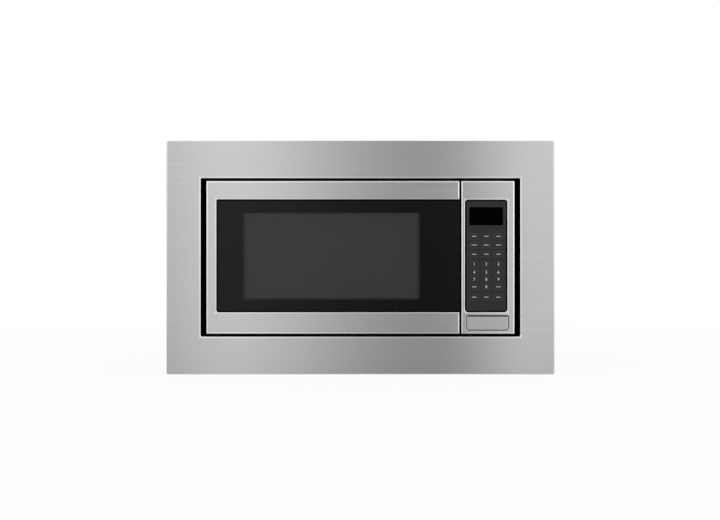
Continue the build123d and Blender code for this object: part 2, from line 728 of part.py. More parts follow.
def cord_gland():
    """Strain-relief bush in the rear panel, where the mains lead comes in."""
    x, z = gland_axis()
    start, end = REAR_INNER_Y - GLAND_FLANGE, CASE_BACK_Y + GLAND_FLANGE
    neck = rod_y(x, start, end, z, GLAND_RADIUS - SEAT_CLEARANCE)
    outer = rod_y(x, CASE_BACK_Y, end, z, GLAND_FLANGE_RADIUS)
    inner = rod_y(x, start, REAR_INNER_Y, z, GLAND_RADIUS + GLAND_CATCH)
    outer = chamfer(outer.faces().sort_by(Axis.Y)[-1].edges(), GLAND_FLANGE * 0.4)
    bore = rod_y(x, start - 1, end + 1, z, GLAND_BORE_RADIUS)
    return neck + outer + inner - bore


# Cavity: front plate, folded walls, drawn floor, back


def hook_centres():
    return [HOOK_LOW_Z, HOOK_LOW_Z + HOOK_SPACING]


def hook_window(margin):
    """Sketch of the two holes that the hooks and their lift need, with a margin round them."""
    window = Sketch()
    for z in hook_centres():
        low = z - HOOK_HEIGHT / 2 - BARB_DROP - margin
        high = z + HOOK_HEIGHT / 2 + LIFT_TRAVEL + margin
        window += rect(HOOK_X0 - margin, LUG_X1 + 2 * margin, low, high)
    return window


def front_plate():
    left, right = CASE_LEFT + CASE_SHEET, CASE_RIGHT - CASE_SHEET
    plate = prism_y(rect(left, right, CASE_BOTTOM, CASE_TOP - CASE_SHEET), PLATE_Y, CAVITY_FRONT_Y)
    plate = fillet(plate.edges().filter_by(Axis.Y).sort_by(Axis.Z)[-2:], CASE_BEND)
    opening = rect(CAVITY_LEFT, CAVITY_RIGHT, FLOOR_Z, ROOF_Z, CAVITY_CORNER)
    neck = PANEL_NECK_INSET - SLIDE_CLEARANCE
    panel_hole = rect(
        PANEL_LEFT + FACE_SHEET + neck,
        PANEL_RIGHT - FACE_SHEET - neck,
        FRONT_BOTTOM + FACE_SHEET + neck,
        FRONT_TOP - FACE_SHEET - neck,
    )
    cuts = opening + panel_hole + hook_window(HOOK_WINDOW_MARGIN)
    half = HINGE_ARM_WIDTH / 2 + SLIDE_CLEARANCE
    for z in (hinge_arm_z(), 2 * MID_Z - hinge_arm_z()):
        rise = HINGE_SHEET / 2 + SLIDE_CLEARANCE
        cuts += rect(HINGE_X - half, HINGE_X + half, z - rise, z + rise)
    return plate - prism_y(cuts, PLATE_Y - 1, CAVITY_FRONT_Y + 1)


def cavity_wrap():
    points = [
        (CAVITY_LEFT, FLOOR_Z),
        (CAVITY_LEFT, ROOF_Z),
        (CAVITY_RIGHT, ROOF_Z),
        (CAVITY_RIGHT, FLOOR_Z),
    ]
    wrap = prism_y(bent_sheet(points, CAVITY_SHEET, CAVITY_CORNER), CAVITY_FRONT_Y, CAVITY_BACK_Y)
    wrap -= prism_x(port_outline(0.0), CAVITY_RIGHT - 1, WORKS_LEFT + 1)
    return wrap - rod_x(CAVITY_RIGHT - 1, WORKS_LEFT + 1, *lamp_axis(), LAMP_HOLE_RADIUS)


def cavity_floor():
    """Floor sheet with a round well drawn into it for the rollers."""
    left, right = CAVITY_LEFT - CAVITY_SHEET, CAVITY_RIGHT + CAVITY_SHEET
    sheet = prism_z(rect(left, right, CAVITY_FRONT_Y, CAVITY_BACK_Y), FLOOR_Z - CAVITY_SHEET, FLOOR_Z)
    sheet += rod_z(CAVITY_X, CAVITY_Y, WELL_Z - CAVITY_SHEET, FLOOR_Z, WELL_RADIUS + CAVITY_SHEET)
    sheet -= rod_z(CAVITY_X, CAVITY_Y, WELL_Z, FLOOR_Z, WELL_RADIUS)
    return sheet - rod_z(CAVITY_X, CAVITY_Y, WELL_Z - CAVITY_SHEET, WELL_Z, FLOOR_HOLE_RADIUS)


def cavity_back():
    outline = rect(
        CAVITY_LEFT - CAVITY_SHEET,
        CAVITY_RIGHT + CAVITY_SHEET,
        FLOOR_Z - CAVITY_SHEET,
        ROOF_Z + CAVITY_SHEET,
        CAVITY_CORNER / 2,
    )
    return prism_y(outline, CAVITY_BACK_Y, CAVITY_BACK_Y + CAVITY_SHEET)


# Door hinge


def hinge_arm_z():
    """Middle of the upper arm's thickness."""
    return FRONT_TOP + HINGE_GAP + HINGE_SHEET / 2


def hinge_arm():
    """Upper hinge: an arm through the front plate, its screwed-on leg, and the pin."""
    low, high = hinge_arm_z() - HINGE_SHEET / 2, hinge_arm_z() + HINGE_SHEET / 2
    half = HINGE_ARM_WIDTH / 2
    leg_back = CAVITY_FRONT_Y + HINGE_SHEET
    nose = Pos(HINGE_X, HINGE_Y) * Circle(HINGE_NOSE_RADIUS)
    root_edge = rect(HINGE_X - half, HINGE_X + half, PLATE_Y - 1, leg_back)
    outline = make_hull((nose + root_edge).edges())
    arm = prism_z(outline, low, high)
    arm += prism_y(rect(HINGE_X - half, HINGE_X + half, high - HINGE_LEG, high), CAVITY_FRONT_Y, leg_back)
    return arm + rod_z(HINGE_X, HINGE_Y, low - PIN_LENGTH, low, PIN_RADIUS)


def hinge_arms():
    arm = hinge_arm()
    return [arm, mirror(arm, about=Plane.XY.offset(MID_Z))]


def carrier_top():
    return FRONT_TOP - FACE_SHEET


def hinge_bush():
    top = carrier_top()
    bush = rod_z(HINGE_X, HINGE_Y, top - BUSH_LENGTH, top, BUSH_RADIUS)
    bush += rod_z(HINGE_X, HINGE_Y, top, top + BUSH_FLANGE, BUSH_FLANGE_RADIUS)
    bore = PIN_RADIUS + RUNNING_CLEARANCE
    return bush - rod_z(HINGE_X, HINGE_Y, top - BUSH_LENGTH, top + BUSH_FLANGE, bore)


def hinge_bushes():
    bush = hinge_bush()
    return [bush, mirror(bush, about=Plane.XY.offset(MID_Z))]


# Door, from the face to the back


def glass_outline(grow):
    """The glass, rounded at its left corners, running out at the door's right edge."""
    left, right = DOOR_LEFT + SKIN_LEFT - grow, DOOR_RIGHT + GLASS_CORNER
    low, high = FRONT_BOTTOM + SKIN_BOTTOM - grow, FRONT_TOP - SKIN_TOP + grow
    return rect(left, right, low, high, GLASS_CORNER + max(grow, 0))


def door_outline(inset):
    return rect(DOOR_LEFT + inset, DOOR_RIGHT - inset, FRONT_BOTTOM + inset, FRONT_TOP - inset)


def door_skin():
    """Steel face folded round the top, hinge side and bottom of the glass."""
    face = door_outline(0) - glass_outline(0)
    skin = fillet(front_edges(prism_y(face, FACE_Y, FACE_Y + FACE_RETURN)), FACE_EDGE_RADIUS)
    inside = door_outline(FACE_SHEET) - glass_outline(FACE_SHEET)
    hollow = prism_y(inside, FACE_Y + FACE_SHEET, FACE_Y + FACE_RETURN)
    skin -= fillet(front_edges(hollow), FACE_INNER_RADIUS)
    behind_glass = glass_outline(FACE_SHEET)
    return skin - prism_y(behind_glass, FACE_Y + GLASS_SETBACK + GLASS_THICKNESS, FACE_Y + FACE_RETURN)


def door_glass():
    front = FACE_Y + GLASS_SETBACK
    pane = glass_outline(-GLASS_GAP) & rect(
        DOOR_LEFT, DOOR_RIGHT - GLASS_LIP - SLIDE_CLEARANCE, FRONT_BOTTOM, FRONT_TOP
    )
    glass = prism_y(pane, front, front + GLASS_THICKNESS)
    return chamfer(front_edges(glass), GLASS_THICKNESS * 0.15)


def choke_outline(grow):
    """The cavity's mouth, grown by a margin: the door's screen and choke follow it."""
    return rect(
        CAVITY_LEFT - grow,
        CAVITY_RIGHT + grow,
        FLOOR_Z - grow,
        ROOF_Z + grow,
        CAVITY_CORNER,
    )


def door_carrier():
    """Moulded frame that holds the face, glass, hinge bushes, choke pan and latch bar."""
    front = FACE_Y + GLASS_SETBACK + GLASS_THICKNESS
    block = prism_y(door_outline(FACE_SHEET), front, DOOR_EDGE_Y)
    raised = prism_y(door_outline(FACE_SHEET) - glass_outline(FACE_SHEET), FACE_Y + FACE_SHEET, front)
    block += chamfer(front_edges(raised), FACE_INNER_RADIUS)
    lip = rect(
        DOOR_RIGHT - GLASS_LIP,
        DOOR_RIGHT,
        FRONT_BOTTOM + SKIN_BOTTOM + SLIDE_CLEARANCE,
        FRONT_TOP - SKIN_TOP - SLIDE_CLEARANCE,
    )
    block += prism_y(lip, FACE_Y + GLASS_SETBACK, DOOR_EDGE_Y)
    pan_edge = CHOKE_MARGIN + CHOKE_WIDTH + SLIDE_CLEARANCE
    block -= prism_y(choke_outline(pan_edge), front + CARRIER_WALL, DOOR_EDGE_Y)
    view = Pos(CAVITY_X, CAVITY_Z) * RectangleRounded(WINDOW_WIDTH, WINDOW_HEIGHT, CAVITY_CORNER)
    block -= prism_y(view, front, front + CARRIER_WALL)
    slot_low = HOOK_LOW_Z - HOOK_HEIGHT / 2 - BARB_DROP - SLIDE_CLEARANCE
    slot_high = HOOK_LOW_Z + HOOK_SPACING + HOOK_HEIGHT / 2 + LIFT_TRAVEL + SLIDE_CLEARANCE
    slot = rect(HOOK_X0 - SLIDE_CLEARANCE, HOOK_X1 + SLIDE_CLEARANCE, slot_low, slot_high)
    block -= prism_y(slot, HOOK_BAR_Y - HOOK_BAR_DEPTH - SLIDE_CLEARANCE, DOOR_EDGE_Y)
    for pocket in carrier_pockets():
        block -= prism_y(pocket, front + CARRIER_WALL, DOOR_EDGE_Y)
    for bush_hole in bush_holes():
        block -= bush_hole
    return block


def carrier_pockets():
    """Sketches of the hollows that lighten the moulded frame beside and below the choke pan."""
    wall = FACE_SHEET + CARRIER_WALL
    pan_edge = CHOKE_MARGIN + CHOKE_WIDTH + SLIDE_CLEARANCE + CARRIER_WALL
    clear = 2 * BUSH_LENGTH
    side = rect(DOOR_LEFT + wall, CAVITY_LEFT - pan_edge, FRONT_BOTTOM + clear, FRONT_TOP - clear)
    below = rect(CAVITY_LEFT, CAVITY_RIGHT, FRONT_BOTTOM + wall, FLOOR_Z - pan_edge)
    above = rect(CAVITY_LEFT, CAVITY_RIGHT, ROOF_Z + pan_edge, FRONT_TOP - wall)
    return [side, below, above]


def bush_holes():
    top = carrier_top()
    hole = rod_z(HINGE_X, HINGE_Y, top - BUSH_LENGTH - 1, top + 1, BUSH_RADIUS + SEAT_CLEARANCE)
    return [hole, mirror(hole, about=Plane.XY.offset(MID_Z))]


def door_screen_panel():
    """Pressed steel pan: the flat screen, and the choke channel folded round it."""
    screen_y = DOOR_BACK_Y - SCREEN_SETBACK
    channel_y = screen_y - CHOKE_FLOOR_DEPTH
    inner, outer = CHOKE_MARGIN, CHOKE_MARGIN + CHOKE_WIDTH
    pan = prism_y(choke_outline(outer), channel_y - CHOKE_SHEET, DOOR_EDGE_Y)
    pan -= prism_y(choke_outline(outer - CHOKE_SHEET), channel_y, DOOR_EDGE_Y)
    wall = choke_outline(inner)
    pan += prism_y(wall, channel_y - CHOKE_SHEET, screen_y)
    return pan - prism_y(choke_outline(inner - CHOKE_SHEET), channel_y - CHOKE_SHEET, screen_y - CHOKE_SHEET)


def door_choke_cover():
    """Plastic ring that closes the back of the door round the screen."""
    back, front = DOOR_BACK_Y, DOOR_BACK_Y - COVER_THICKNESS
    left = HINGE_X + COVER_EDGE * 3
    low, high = FRONT_BOTTOM + COVER_EDGE, FRONT_TOP - COVER_EDGE
    outline = rect(left, DOOR_RIGHT - COVER_EDGE, low, high, COVER_EDGE)
    cover = prism_y(outline, DOOR_EDGE_Y, back)
    cover = fillet(cover.faces().sort_by(Axis.Y)[-1].edges(), COVER_EDGE * 0.6)
    inner = rect(
        left + COVER_EDGE,
        DOOR_RIGHT - 2 * COVER_EDGE,
        FRONT_BOTTOM + 2 * COVER_EDGE,
        FRONT_TOP - 2 * COVER_EDGE,
    )
    cover -= prism_y(inner, DOOR_EDGE_Y, front)
    cover -= prism_y(choke_outline(0), front - 1, back + 1)
    return cover - prism_y(hook_window(HOOK_WINDOW_MARGIN), front - 1, back + 1)


def door_inner_film():
    screen_y = DOOR_BACK_Y - SCREEN_SETBACK
    return prism_y(choke_outline(-SLIDE_CLEARANCE), screen_y, screen_y + FILM_THICKNESS)


def latch_hooks():
    """Two hooks on one sliding bar, with the rib that the lever lifts."""
    bar_front, bar_back = HOOK_BAR_Y - HOOK_BAR_DEPTH, HOOK_BAR_Y
    low = HOOK_LOW_Z - HOOK_HEIGHT / 2 - BARB_DROP
    high = HOOK_LOW_Z + HOOK_SPACING + HOOK_HEIGHT / 2
    profile = rect(bar_front, bar_back, low, high)
    for z in hook_centres():
        shank_low, shank_high = z - HOOK_HEIGHT / 2, z + HOOK_HEIGHT / 2
        barb_y = HOOK_TIP_Y - BARB_LENGTH
        hook = Polyline(
            (bar_back - 1, shank_high),
            (HOOK_TIP_Y - HOOK_HEIGHT / 2, shank_high),
            (HOOK_TIP_Y, shank_high - HOOK_HEIGHT / 2),
            (HOOK_TIP_Y, shank_low - BARB_DROP * 0.3),
            (barb_y + BARB_LENGTH * 0.4, shank_low - BARB_DROP),
            (barb_y, shank_low - BARB_DROP),
            (barb_y, shank_low),
            (bar_back - 1, shank_low),
            close=True,
        )
        profile += make_face(hook)
    hooks = prism_x(profile, HOOK_X0, HOOK_X1)
    rib = rect(LATCH_Y + LATCH_WALL, HOOK_TIP_Y - BARB_LENGTH * 0.4, LUG_Z, LUG_Z + LUG_HEIGHT)
    return hooks + prism_x(rib, HOOK_X1, LUG_X1)


# Latch behind the front plate


def switch_places():
    """Left edge and middle height of each interlock switch: two at the upper hook, one at the lower."""
    pair = HOOK_X0 + HOOK_WIDTH / 2
    low, high = hook_centres()
    left = pair - SWITCH_WIDTH - SWITCH_SPLIT / 2
    return [(left, high), (pair + SWITCH_SPLIT / 2, high), (pair - SWITCH_WIDTH / 2, low)]


def plunger_x(left):
    """A pair's plungers sit either side of the middle of the hook, a single one at its middle."""
    middle = HOOK_X0 + HOOK_WIDTH / 2
    offset = left + SWITCH_WIDTH / 2 - middle
    if abs(offset) < SWITCH_SPLIT / 2:
        return middle
    return middle + math.copysign(PLUNGER_WIDTH / 2 + SLIDE_CLEARANCE, offset)


def switch_front_y():
    return HOOK_TIP_Y + SLIDE_CLEARANCE + PLUNGER_TRAVEL


def latch_wall_x():
    """Right face of the latch body's left wall, which carries the switches."""
    return HOOK_X0 + HOOK_WIDTH / 2 - SWITCH_WIDTH - SWITCH_SPLIT / 2


def latch_body():
    """Moulded keeper: a flange on the front plate, a ledge for each hook, walls for switches and lever."""
    wall = latch_wall_x()
    right = LUG_X1 + LATCH_WALL
    low, high = BASE_TOP, HOOK_LOW_Z + HOOK_SPACING + SWITCH_HEIGHT / 2
    flange = rect(wall - LATCH_WALL, right + LATCH_WALL, low, high) - hook_window(HOOK_WINDOW_MARGIN)
    body = prism_y(flange, LATCH_Y, LATCH_Y + LATCH_WALL)
    depth = switch_front_y() + SWITCH_DEPTH
    body += prism_x(rect(LATCH_Y, depth, low, high), wall - LATCH_WALL, wall)
    web_high = HOOK_LOW_Z - HOOK_HEIGHT
    body += prism_x(rect(LATCH_Y, LEVER_Y + LEVER_EYE, low, web_high), right, right + LATCH_WALL)
    keeper_back = HOOK_TIP_Y - BARB_LENGTH - KEEPER_GAP
    for z in hook_centres():
        top = z - HOOK_HEIGHT / 2 - KEEPER_GAP
        ledge = rect(LATCH_Y, keeper_back, top - BARB_DROP * 2, top)
        body += prism_x(ledge, wall - LATCH_WALL, HOOK_X1 + SLIDE_CLEARANCE)
    shaft_hole = LEVER_SHAFT_RADIUS + RUNNING_CLEARANCE
    return body - rod_x(wall - LATCH_WALL - 1, right + LATCH_WALL + 1, LEVER_Y, LEVER_Z, shaft_hole)


def interlock_switches():
    switches = []
    for left, z in switch_places():
        front = switch_front_y()
        back = front + SWITCH_DEPTH
        block = rect(front, back, z - SWITCH_HEIGHT / 2, z + SWITCH_HEIGHT / 2, SWITCH_CORNER)
        case = prism_x(block, left, left + SWITCH_WIDTH)
        for middle in (z - TAB_SPACING / 2, z + TAB_SPACING / 2):
            tab = rect(back, back + TAB_LENGTH, middle - TAB_WIDTH / 2, middle + TAB_WIDTH / 2)
            start = left + (SWITCH_WIDTH - TAB_SHEET) / 2
            case += prism_x(tab, start, start + TAB_SHEET)
        half = PLUNGER_WIDTH / 2 + PLUNGER_CLEARANCE
        pocket = rect(plunger_x(left) - half, plunger_x(left) + half, z - half, z + half)
        switches.append(case - prism_y(pocket, front, front + PLUNGER_LENGTH))
    return switches


def switch_plungers():
    plungers = []
    for left, z in switch_places():
        half = PLUNGER_WIDTH / 2
        tip = switch_front_y() - PLUNGER_TRAVEL
        peg = rect(plunger_x(left) - half, plunger_x(left) + half, z - half, z + half)
        plungers.append(prism_y(peg, tip, tip + PLUNGER_LENGTH + PLUNGER_TRAVEL - 2 * PLUNGER_CLEARANCE))
    return plungers


def release_lever():
    """Bell crank under the lower hook: the button pushes one arm and the other lifts the hooks."""
    wall = latch_wall_x()
    right = LUG_X1 + LATCH_WALL
    pivot = (LEVER_Y, LEVER_Z)
    shaft = rod_x(wall - LATCH_WALL, POST_X + POST_RADIUS, LEVER_Y, LEVER_Z, LEVER_SHAFT_RADIUS)
    lift = bar(pivot, (LEVER_TIP_Y, LEVER_TIP_Z), 2 * LEVER_TIP_RADIUS)
    hub = Pos(*pivot) * Circle(LEVER_ARM_WIDTH * 0.8)
    lever = shaft + prism_x(lift + hub, HOOK_X1 + LEVER_SIDE_GAP, LUG_X1 - LEVER_SIDE_GAP / 2)
    push = bar(pivot, (LEVER_Y, POST_Z + LEVER_OVERREACH), LEVER_ARM_WIDTH) + hub
    start = max(POST_X - POST_RADIUS, right + LATCH_WALL + LEVER_SIDE_GAP / 2)
    return lever + prism_x(push, start, POST_X + POST_RADIUS)


# Control panel


def panel_outline(inset, radius=0.0):
    return rect(
        PANEL_LEFT + inset, PANEL_RIGHT - inset, FRONT_BOTTOM + inset, FRONT_TOP - inset, radius
    )


def keypad_outline(grow):
    return rect(
        KEYPAD_LEFT - grow,
        KEYPAD_LEFT + KEYPAD_WIDTH + grow,
        KEYPAD_BOTTOM - grow,
        KEYPAD_TOP + grow,
        KEYPAD_CORNER + grow,
    )


def display_outline(grow):
    return Pos(KEYPAD_X, DISPLAY_Z) * Rectangle(DISPLAY_WIDTH + 2 * grow, DISPLAY_HEIGHT + 2 * grow)


def button_outline(grow):
    shape = RectangleRounded(BUTTON_WIDTH + 2 * grow, BUTTON_HEIGHT + 2 * grow, BUTTON_CORNER + grow)
    return Pos(BUTTON_X, BUTTON_Z) * shape


def panel_cuts(grow):
    """The openings for the keypad and the button in the panel's face."""
    return keypad_outline(SLIDE_CLEARANCE + grow) + button_outline(BUTTON_GAP + grow)


def control_panel_skin():
    """Steel face, with a lip drawn in round the keypad and round the button."""
    skin = fillet(front_edges(prism_y(panel_outline(0), FACE_Y, FACE_Y + FACE_RETURN)), FACE_EDGE_RADIUS)
    hollow = prism_y(panel_outline(FACE_SHEET), PANEL_FACE_BACK, FACE_Y + FACE_RETURN)
    skin -= fillet(front_edges(hollow), FACE_INNER_RADIUS)
    skin += prism_y(panel_cuts(FACE_SHEET), PANEL_FACE_BACK, LIP_BACK_Y)
    skin -= prism_y(panel_cuts(0), FACE_Y, LIP_BACK_Y)
    rims = skin.faces().sort_by(Axis.Y)[0].inner_wires()
    return fillet([edge for rim in rims for edge in rim.edges()], LIP_RADIUS)


def control_panel_carrier():
    """Moulded box behind the panel's face, with the button's tunnel and the board's posts."""
    body = prism_y(panel_outline(FACE_SHEET), PANEL_FACE_BACK, PLATE_Y)
    body = chamfer(front_edges(body), FACE_INNER_RADIUS)
    neck = FACE_SHEET + PANEL_NECK_INSET
    neck_back = PLATE_Y + PANEL_NECK_DEPTH
    body += prism_y(panel_outline(neck), PLATE_Y, neck_back)
    body -= prism_y(panel_outline(FACE_SHEET + PANEL_WALL), PANEL_INNER_Y, PLATE_Y - PANEL_WALL)
    body -= prism_y(panel_outline(neck + PANEL_WALL), PLATE_Y - PANEL_WALL, neck_back)
    sleeve = button_outline(BUTTON_GAP + PANEL_WALL) & panel_outline(FACE_SHEET)
    body += prism_y(sleeve, PANEL_FACE_BACK, TUNNEL_BACK_Y)
    body += prism_y(spring_bridge(), TUNNEL_BACK_Y, TUNNEL_BACK_Y + PANEL_WALL)
    for x, z in board_posts():
        body += rod_y(x, PANEL_INNER_Y, BOARD_Y, z, BOARD_POST_RADIUS)
    body -= prism_y(button_outline(BUTTON_GAP), PANEL_FACE_BACK, TUNNEL_BACK_Y)
    lip_groove = panel_cuts(FACE_SHEET + SLIDE_CLEARANCE) - keypad_outline(0)
    body -= prism_y(lip_groove, PANEL_FACE_BACK, LIP_BACK_Y + SLIDE_CLEARANCE)
    post_hole = POST_RADIUS + SLIDE_CLEARANCE
    body -= rod_y(POST_X, TUNNEL_BACK_Y, TUNNEL_BACK_Y + PANEL_WALL, POST_Z, post_hole)
    return body - prism_y(display_outline(SLIDE_CLEARANCE), PANEL_FACE_BACK, PANEL_INNER_Y)


def spring_bridge():
    """Cross-wall at the back of the tunnel that the button's spring pushes against."""
    half = SPRING_RADIUS + SPRING_WIRE + SPRING_SEAT
    reach = BUTTON_HEIGHT / 2 + BUTTON_GAP + PANEL_WALL
    return rect(POST_X - half, POST_X + half, BUTTON_Z - reach, BUTTON_Z + reach) & panel_outline(FACE_SHEET)


def board_posts():
    reach = BOARD_WIDTH / 2 - BOARD_POST_INSET
    heights = (BOARD_BOTTOM + BOARD_POST_INSET, BOARD_TOP - BOARD_POST_INSET)
    return [(KEYPAD_X + side * reach, z) for side in (-1, 1) for z in heights]


def keypad_membrane():
    film = keypad_outline(0) - display_outline(SLIDE_CLEARANCE)
    return prism_y(film, PANEL_FACE_BACK - KEYPAD_THICKNESS, PANEL_FACE_BACK)


def lens_front():
    return PANEL_FACE_BACK - KEYPAD_THICKNESS * 0.8


def display_window():
    return prism_y(display_outline(0), lens_front(), lens_front() + LENS_THICKNESS)


def display_module():
    back = lens_front() + LENS_THICKNESS
    return prism_y(display_outline(-DISPLAY_FRAME), back, BOARD_Y)


def control_board():
    """Printed board with its relays, small transformer and connector."""
    left, right = KEYPAD_X - BOARD_WIDTH / 2, KEYPAD_X + BOARD_WIDTH / 2
    back = BOARD_Y + BOARD_THICKNESS
    board = prism_y(rect(left, right, BOARD_BOTTOM, BOARD_TOP), BOARD_Y, back)
    relays = Sketch() + GridLocations(RELAY_PITCH, 0, RELAY_COUNT, 1) * Rectangle(RELAY_WIDTH, RELAY_HEIGHT)
    board += prism_y(Pos(KEYPAD_X, BOARD_BOTTOM + RELAY_RISE) * relays, back, back + RELAY_WIDTH)
    block_z = BOARD_BOTTOM + MAINS_BLOCK_RISE
    block = Pos(left + MAINS_BLOCK_WIDTH * 0.75, block_z) * Rectangle(MAINS_BLOCK_WIDTH, MAINS_BLOCK_HEIGHT)
    board += prism_y(block, back, back + MAINS_BLOCK_DEPTH)
    connector = Pos(right - CONNECTOR_WIDTH, block_z) * Rectangle(CONNECTOR_WIDTH, CONNECTOR_HEIGHT)
    return board + prism_y(connector, back, back + CONNECTOR_DEPTH)


def open_button():
    """Push button: a face with a skirt, two snap legs, and the round-nosed post that reaches the lever."""
    cap = fillet(front_edges(prism_y(button_outline(0), FACE_Y, SKIRT_BACK_Y)), BUTTON_EDGE_RADIUS)
    cap -= prism_y(button_outline(-BUTTON_WALL), FACE_Y + BUTTON_WALL, SKIRT_BACK_Y)
    for side in (-1, 1):
        edge = BUTTON_X + side * BUTTON_WIDTH / 2
        low, high = BUTTON_Z - LEG_WIDTH / 2, BUTTON_Z + LEG_WIDTH / 2
        leg = rect(*sorted((edge, edge - side * BUTTON_WALL)), low, high)
        cap += prism_y(leg, SKIRT_BACK_Y, TUNNEL_BACK_Y + LEG_LENGTH)
        barb = rect(*sorted((edge, edge + side * (BUTTON_GAP + LEG_BARB))), low, high)
        cap += prism_y(barb, TUNNEL_BACK_Y + SLIDE_CLEARANCE, TUNNEL_BACK_Y + LEG_LENGTH)
    post = rod_y(POST_X, FACE_Y + BUTTON_WALL, LEVER_PUSH_Y - POST_CLEARANCE, POST_Z, POST_RADIUS)
    return cap + fillet(post.faces().sort_by(Axis.Y)[-1].edges(), POST_NOSE)


def button_spring():
    """Return spring on the button's post, between the button's face and the bridge."""
    start = FACE_Y + BUTTON_WALL + SPRING_WIRE
    length = TUNNEL_BACK_Y - start - SPRING_WIRE
    path = Helix(length / SPRING_TURNS, length, SPRING_RADIUS)
    section = Plane(path @ 0, z_dir=path % 0) * RegularPolygon(SPRING_WIRE, WIRE_SIDES)
    coil = sweep(section, path)
    return Pos(POST_X, start, POST_Z) * Rot(-90, 0, 0) * coil


# Turntable


def wheel_angles():
    return [90.0 + turn * 360.0 / WHEEL_COUNT for turn in range(WHEEL_COUNT)]


def turntable_motor():
    top = WELL_Z - CAVITY_SHEET
    low = top - MOTOR_HEIGHT
    can = rod_z(CAVITY_X, CAVITY_Y, low, top - MOTOR_PLATE, MOTOR_RADIUS)
    can = chamfer(can.faces().sort_by(Axis.Z)[0].edges(), MOTOR_PLATE)
    reach = 2 * (MOTOR_RADIUS + MOTOR_EAR)
    ears = Pos(CAVITY_X, CAVITY_Y) * SlotOverall(reach, MOTOR_EAR)
    can += prism_z(ears, top - MOTOR_PLATE, top)
    plug = Pos(CAVITY_X, CAVITY_Y - MOTOR_RADIUS) * Rectangle(MOTOR_PLUG_WIDTH, MOTOR_PLUG_DEPTH)
    can += prism_z(plug, low + MOTOR_FLOOR, low + MOTOR_FLOOR + MOTOR_PLUG_HEIGHT)
    bore_low = low + MOTOR_FLOOR
    return can - rod_z(CAVITY_X, CAVITY_Y, bore_low, top, SHAFT_RADIUS + RUNNING_CLEARANCE)


def turntable_shaft():
    low = WELL_Z - CAVITY_SHEET - MOTOR_HEIGHT + MOTOR_FLOOR + SLIDE_CLEARANCE
    round_bar = rod_z(CAVITY_X, CAVITY_Y, low, coupler_top() - SHAFT_SEAT, SHAFT_RADIUS)
    flat = rect(
        CAVITY_X + SHAFT_RADIUS * 0.6,
        CAVITY_X + 2 * SHAFT_RADIUS,
        CAVITY_Y - 2 * SHAFT_RADIUS,
        CAVITY_Y + 2 * SHAFT_RADIUS,
    )
    return round_bar - prism_z(flat, WELL_Z + SLIDE_CLEARANCE, coupler_top())


def coupler_top():
    return TRAY_Z - SLIDE_CLEARANCE


def turntable_coupler():
    """Three-lobed hub on the motor's shaft."""
    top = coupler_top()
    lobes = Sketch() + Circle(COUPLER_HUB_RADIUS)
    for angle in wheel_angles():
        lobes += Rot(0, 0, angle) * rect(0, COUPLER_RADIUS, -COUPLER_LOBE_WIDTH / 2, COUPLER_LOBE_WIDTH / 2)
    hub = rod_z(CAVITY_X, CAVITY_Y, WELL_Z + SLIDE_CLEARANCE, top, COUPLER_HUB_RADIUS)
    hub += prism_z(Pos(CAVITY_X, CAVITY_Y) * lobes, top - COUPLER_LOBE_HEIGHT, top)
    bore_top = top - SHAFT_SEAT + SLIDE_CLEARANCE
    return hub - rod_z(CAVITY_X, CAVITY_Y, WELL_Z, bore_top, SHAFT_RADIUS + SEAT_CLEARANCE)


def glass_tray():
    """Round glass tray with a raised rim and three lugs that sit between the coupler's lobes."""
    rim_top = TRAY_Z + TRAY_RIM
    slope = TRAY_RADIUS - TRAY_RIM * 1.6
    profile = Polyline(
        (0, TRAY_Z),
        (slope, TRAY_Z),
        (TRAY_RADIUS, rim_top - TRAY_THICKNESS * 0.6),
        (TRAY_RADIUS, rim_top),
        (TRAY_RADIUS - TRAY_THICKNESS * 0.7, rim_top),
        (slope - TRAY_THICKNESS * 0.5, TRAY_Z + TRAY_THICKNESS),
        (0, TRAY_Z + TRAY_THICKNESS),
        close=True,
    )
    tray = revolve(Plane.XZ * make_face(profile), Axis.Z)
    for angle in wheel_angles():
        lug = rod_z(COUPLER_RADIUS * 0.75, 0, TRAY_Z - TRAY_LUG_HEIGHT, TRAY_Z, TRAY_LUG_RADIUS)
        tray += Rot(0, 0, angle + 180.0 / WHEEL_COUNT) * lug
    return Pos(CAVITY_X, CAVITY_Y, 0) * tray


def roller_ring():
    ring_low = WHEEL_Z - RING_HEIGHT / 2
    section = Circle(RING_OUTER_RADIUS) - Circle(RING_OUTER_RADIUS - RING_WIDTH)
    ring = extrude(Plane.XY.offset(ring_low) * section, amount=RING_HEIGHT)
    wheel_end = WHEEL_TRACK_RADIUS + WHEEL_WIDTH / 2 + SLIDE_CLEARANCE
    axle = rod_x(RING_OUTER_RADIUS - RING_WIDTH / 2, wheel_end + AXLE_HEAD, 0, WHEEL_Z, AXLE_RADIUS)
    axle += rod_x(wheel_end, wheel_end + AXLE_HEAD, 0, WHEEL_Z, AXLE_RADIUS * 1.4)
    for angle in wheel_angles():
        ring += Rot(0, 0, angle) * axle
    return Pos(CAVITY_X, CAVITY_Y, 0) * ring


def roller_wheel(angle):
    start = WHEEL_TRACK_RADIUS - WHEEL_WIDTH / 2
    wheel = rod_x(start, start + WHEEL_WIDTH, 0, WHEEL_Z, WHEEL_RADIUS)
    wheel = chamfer(wheel.edges().filter_by(GeomType.CIRCLE), WHEEL_RADIUS * 0.15)
    wheel -= rod_x(start, start + WHEEL_WIDTH, 0, WHEEL_Z, AXLE_RADIUS + RUNNING_CLEARANCE)
    return Pos(CAVITY_X, CAVITY_Y, 0) * Rot(0, 0, angle) * wheel


# Microwave source, lamp and supply in the right-hand bay


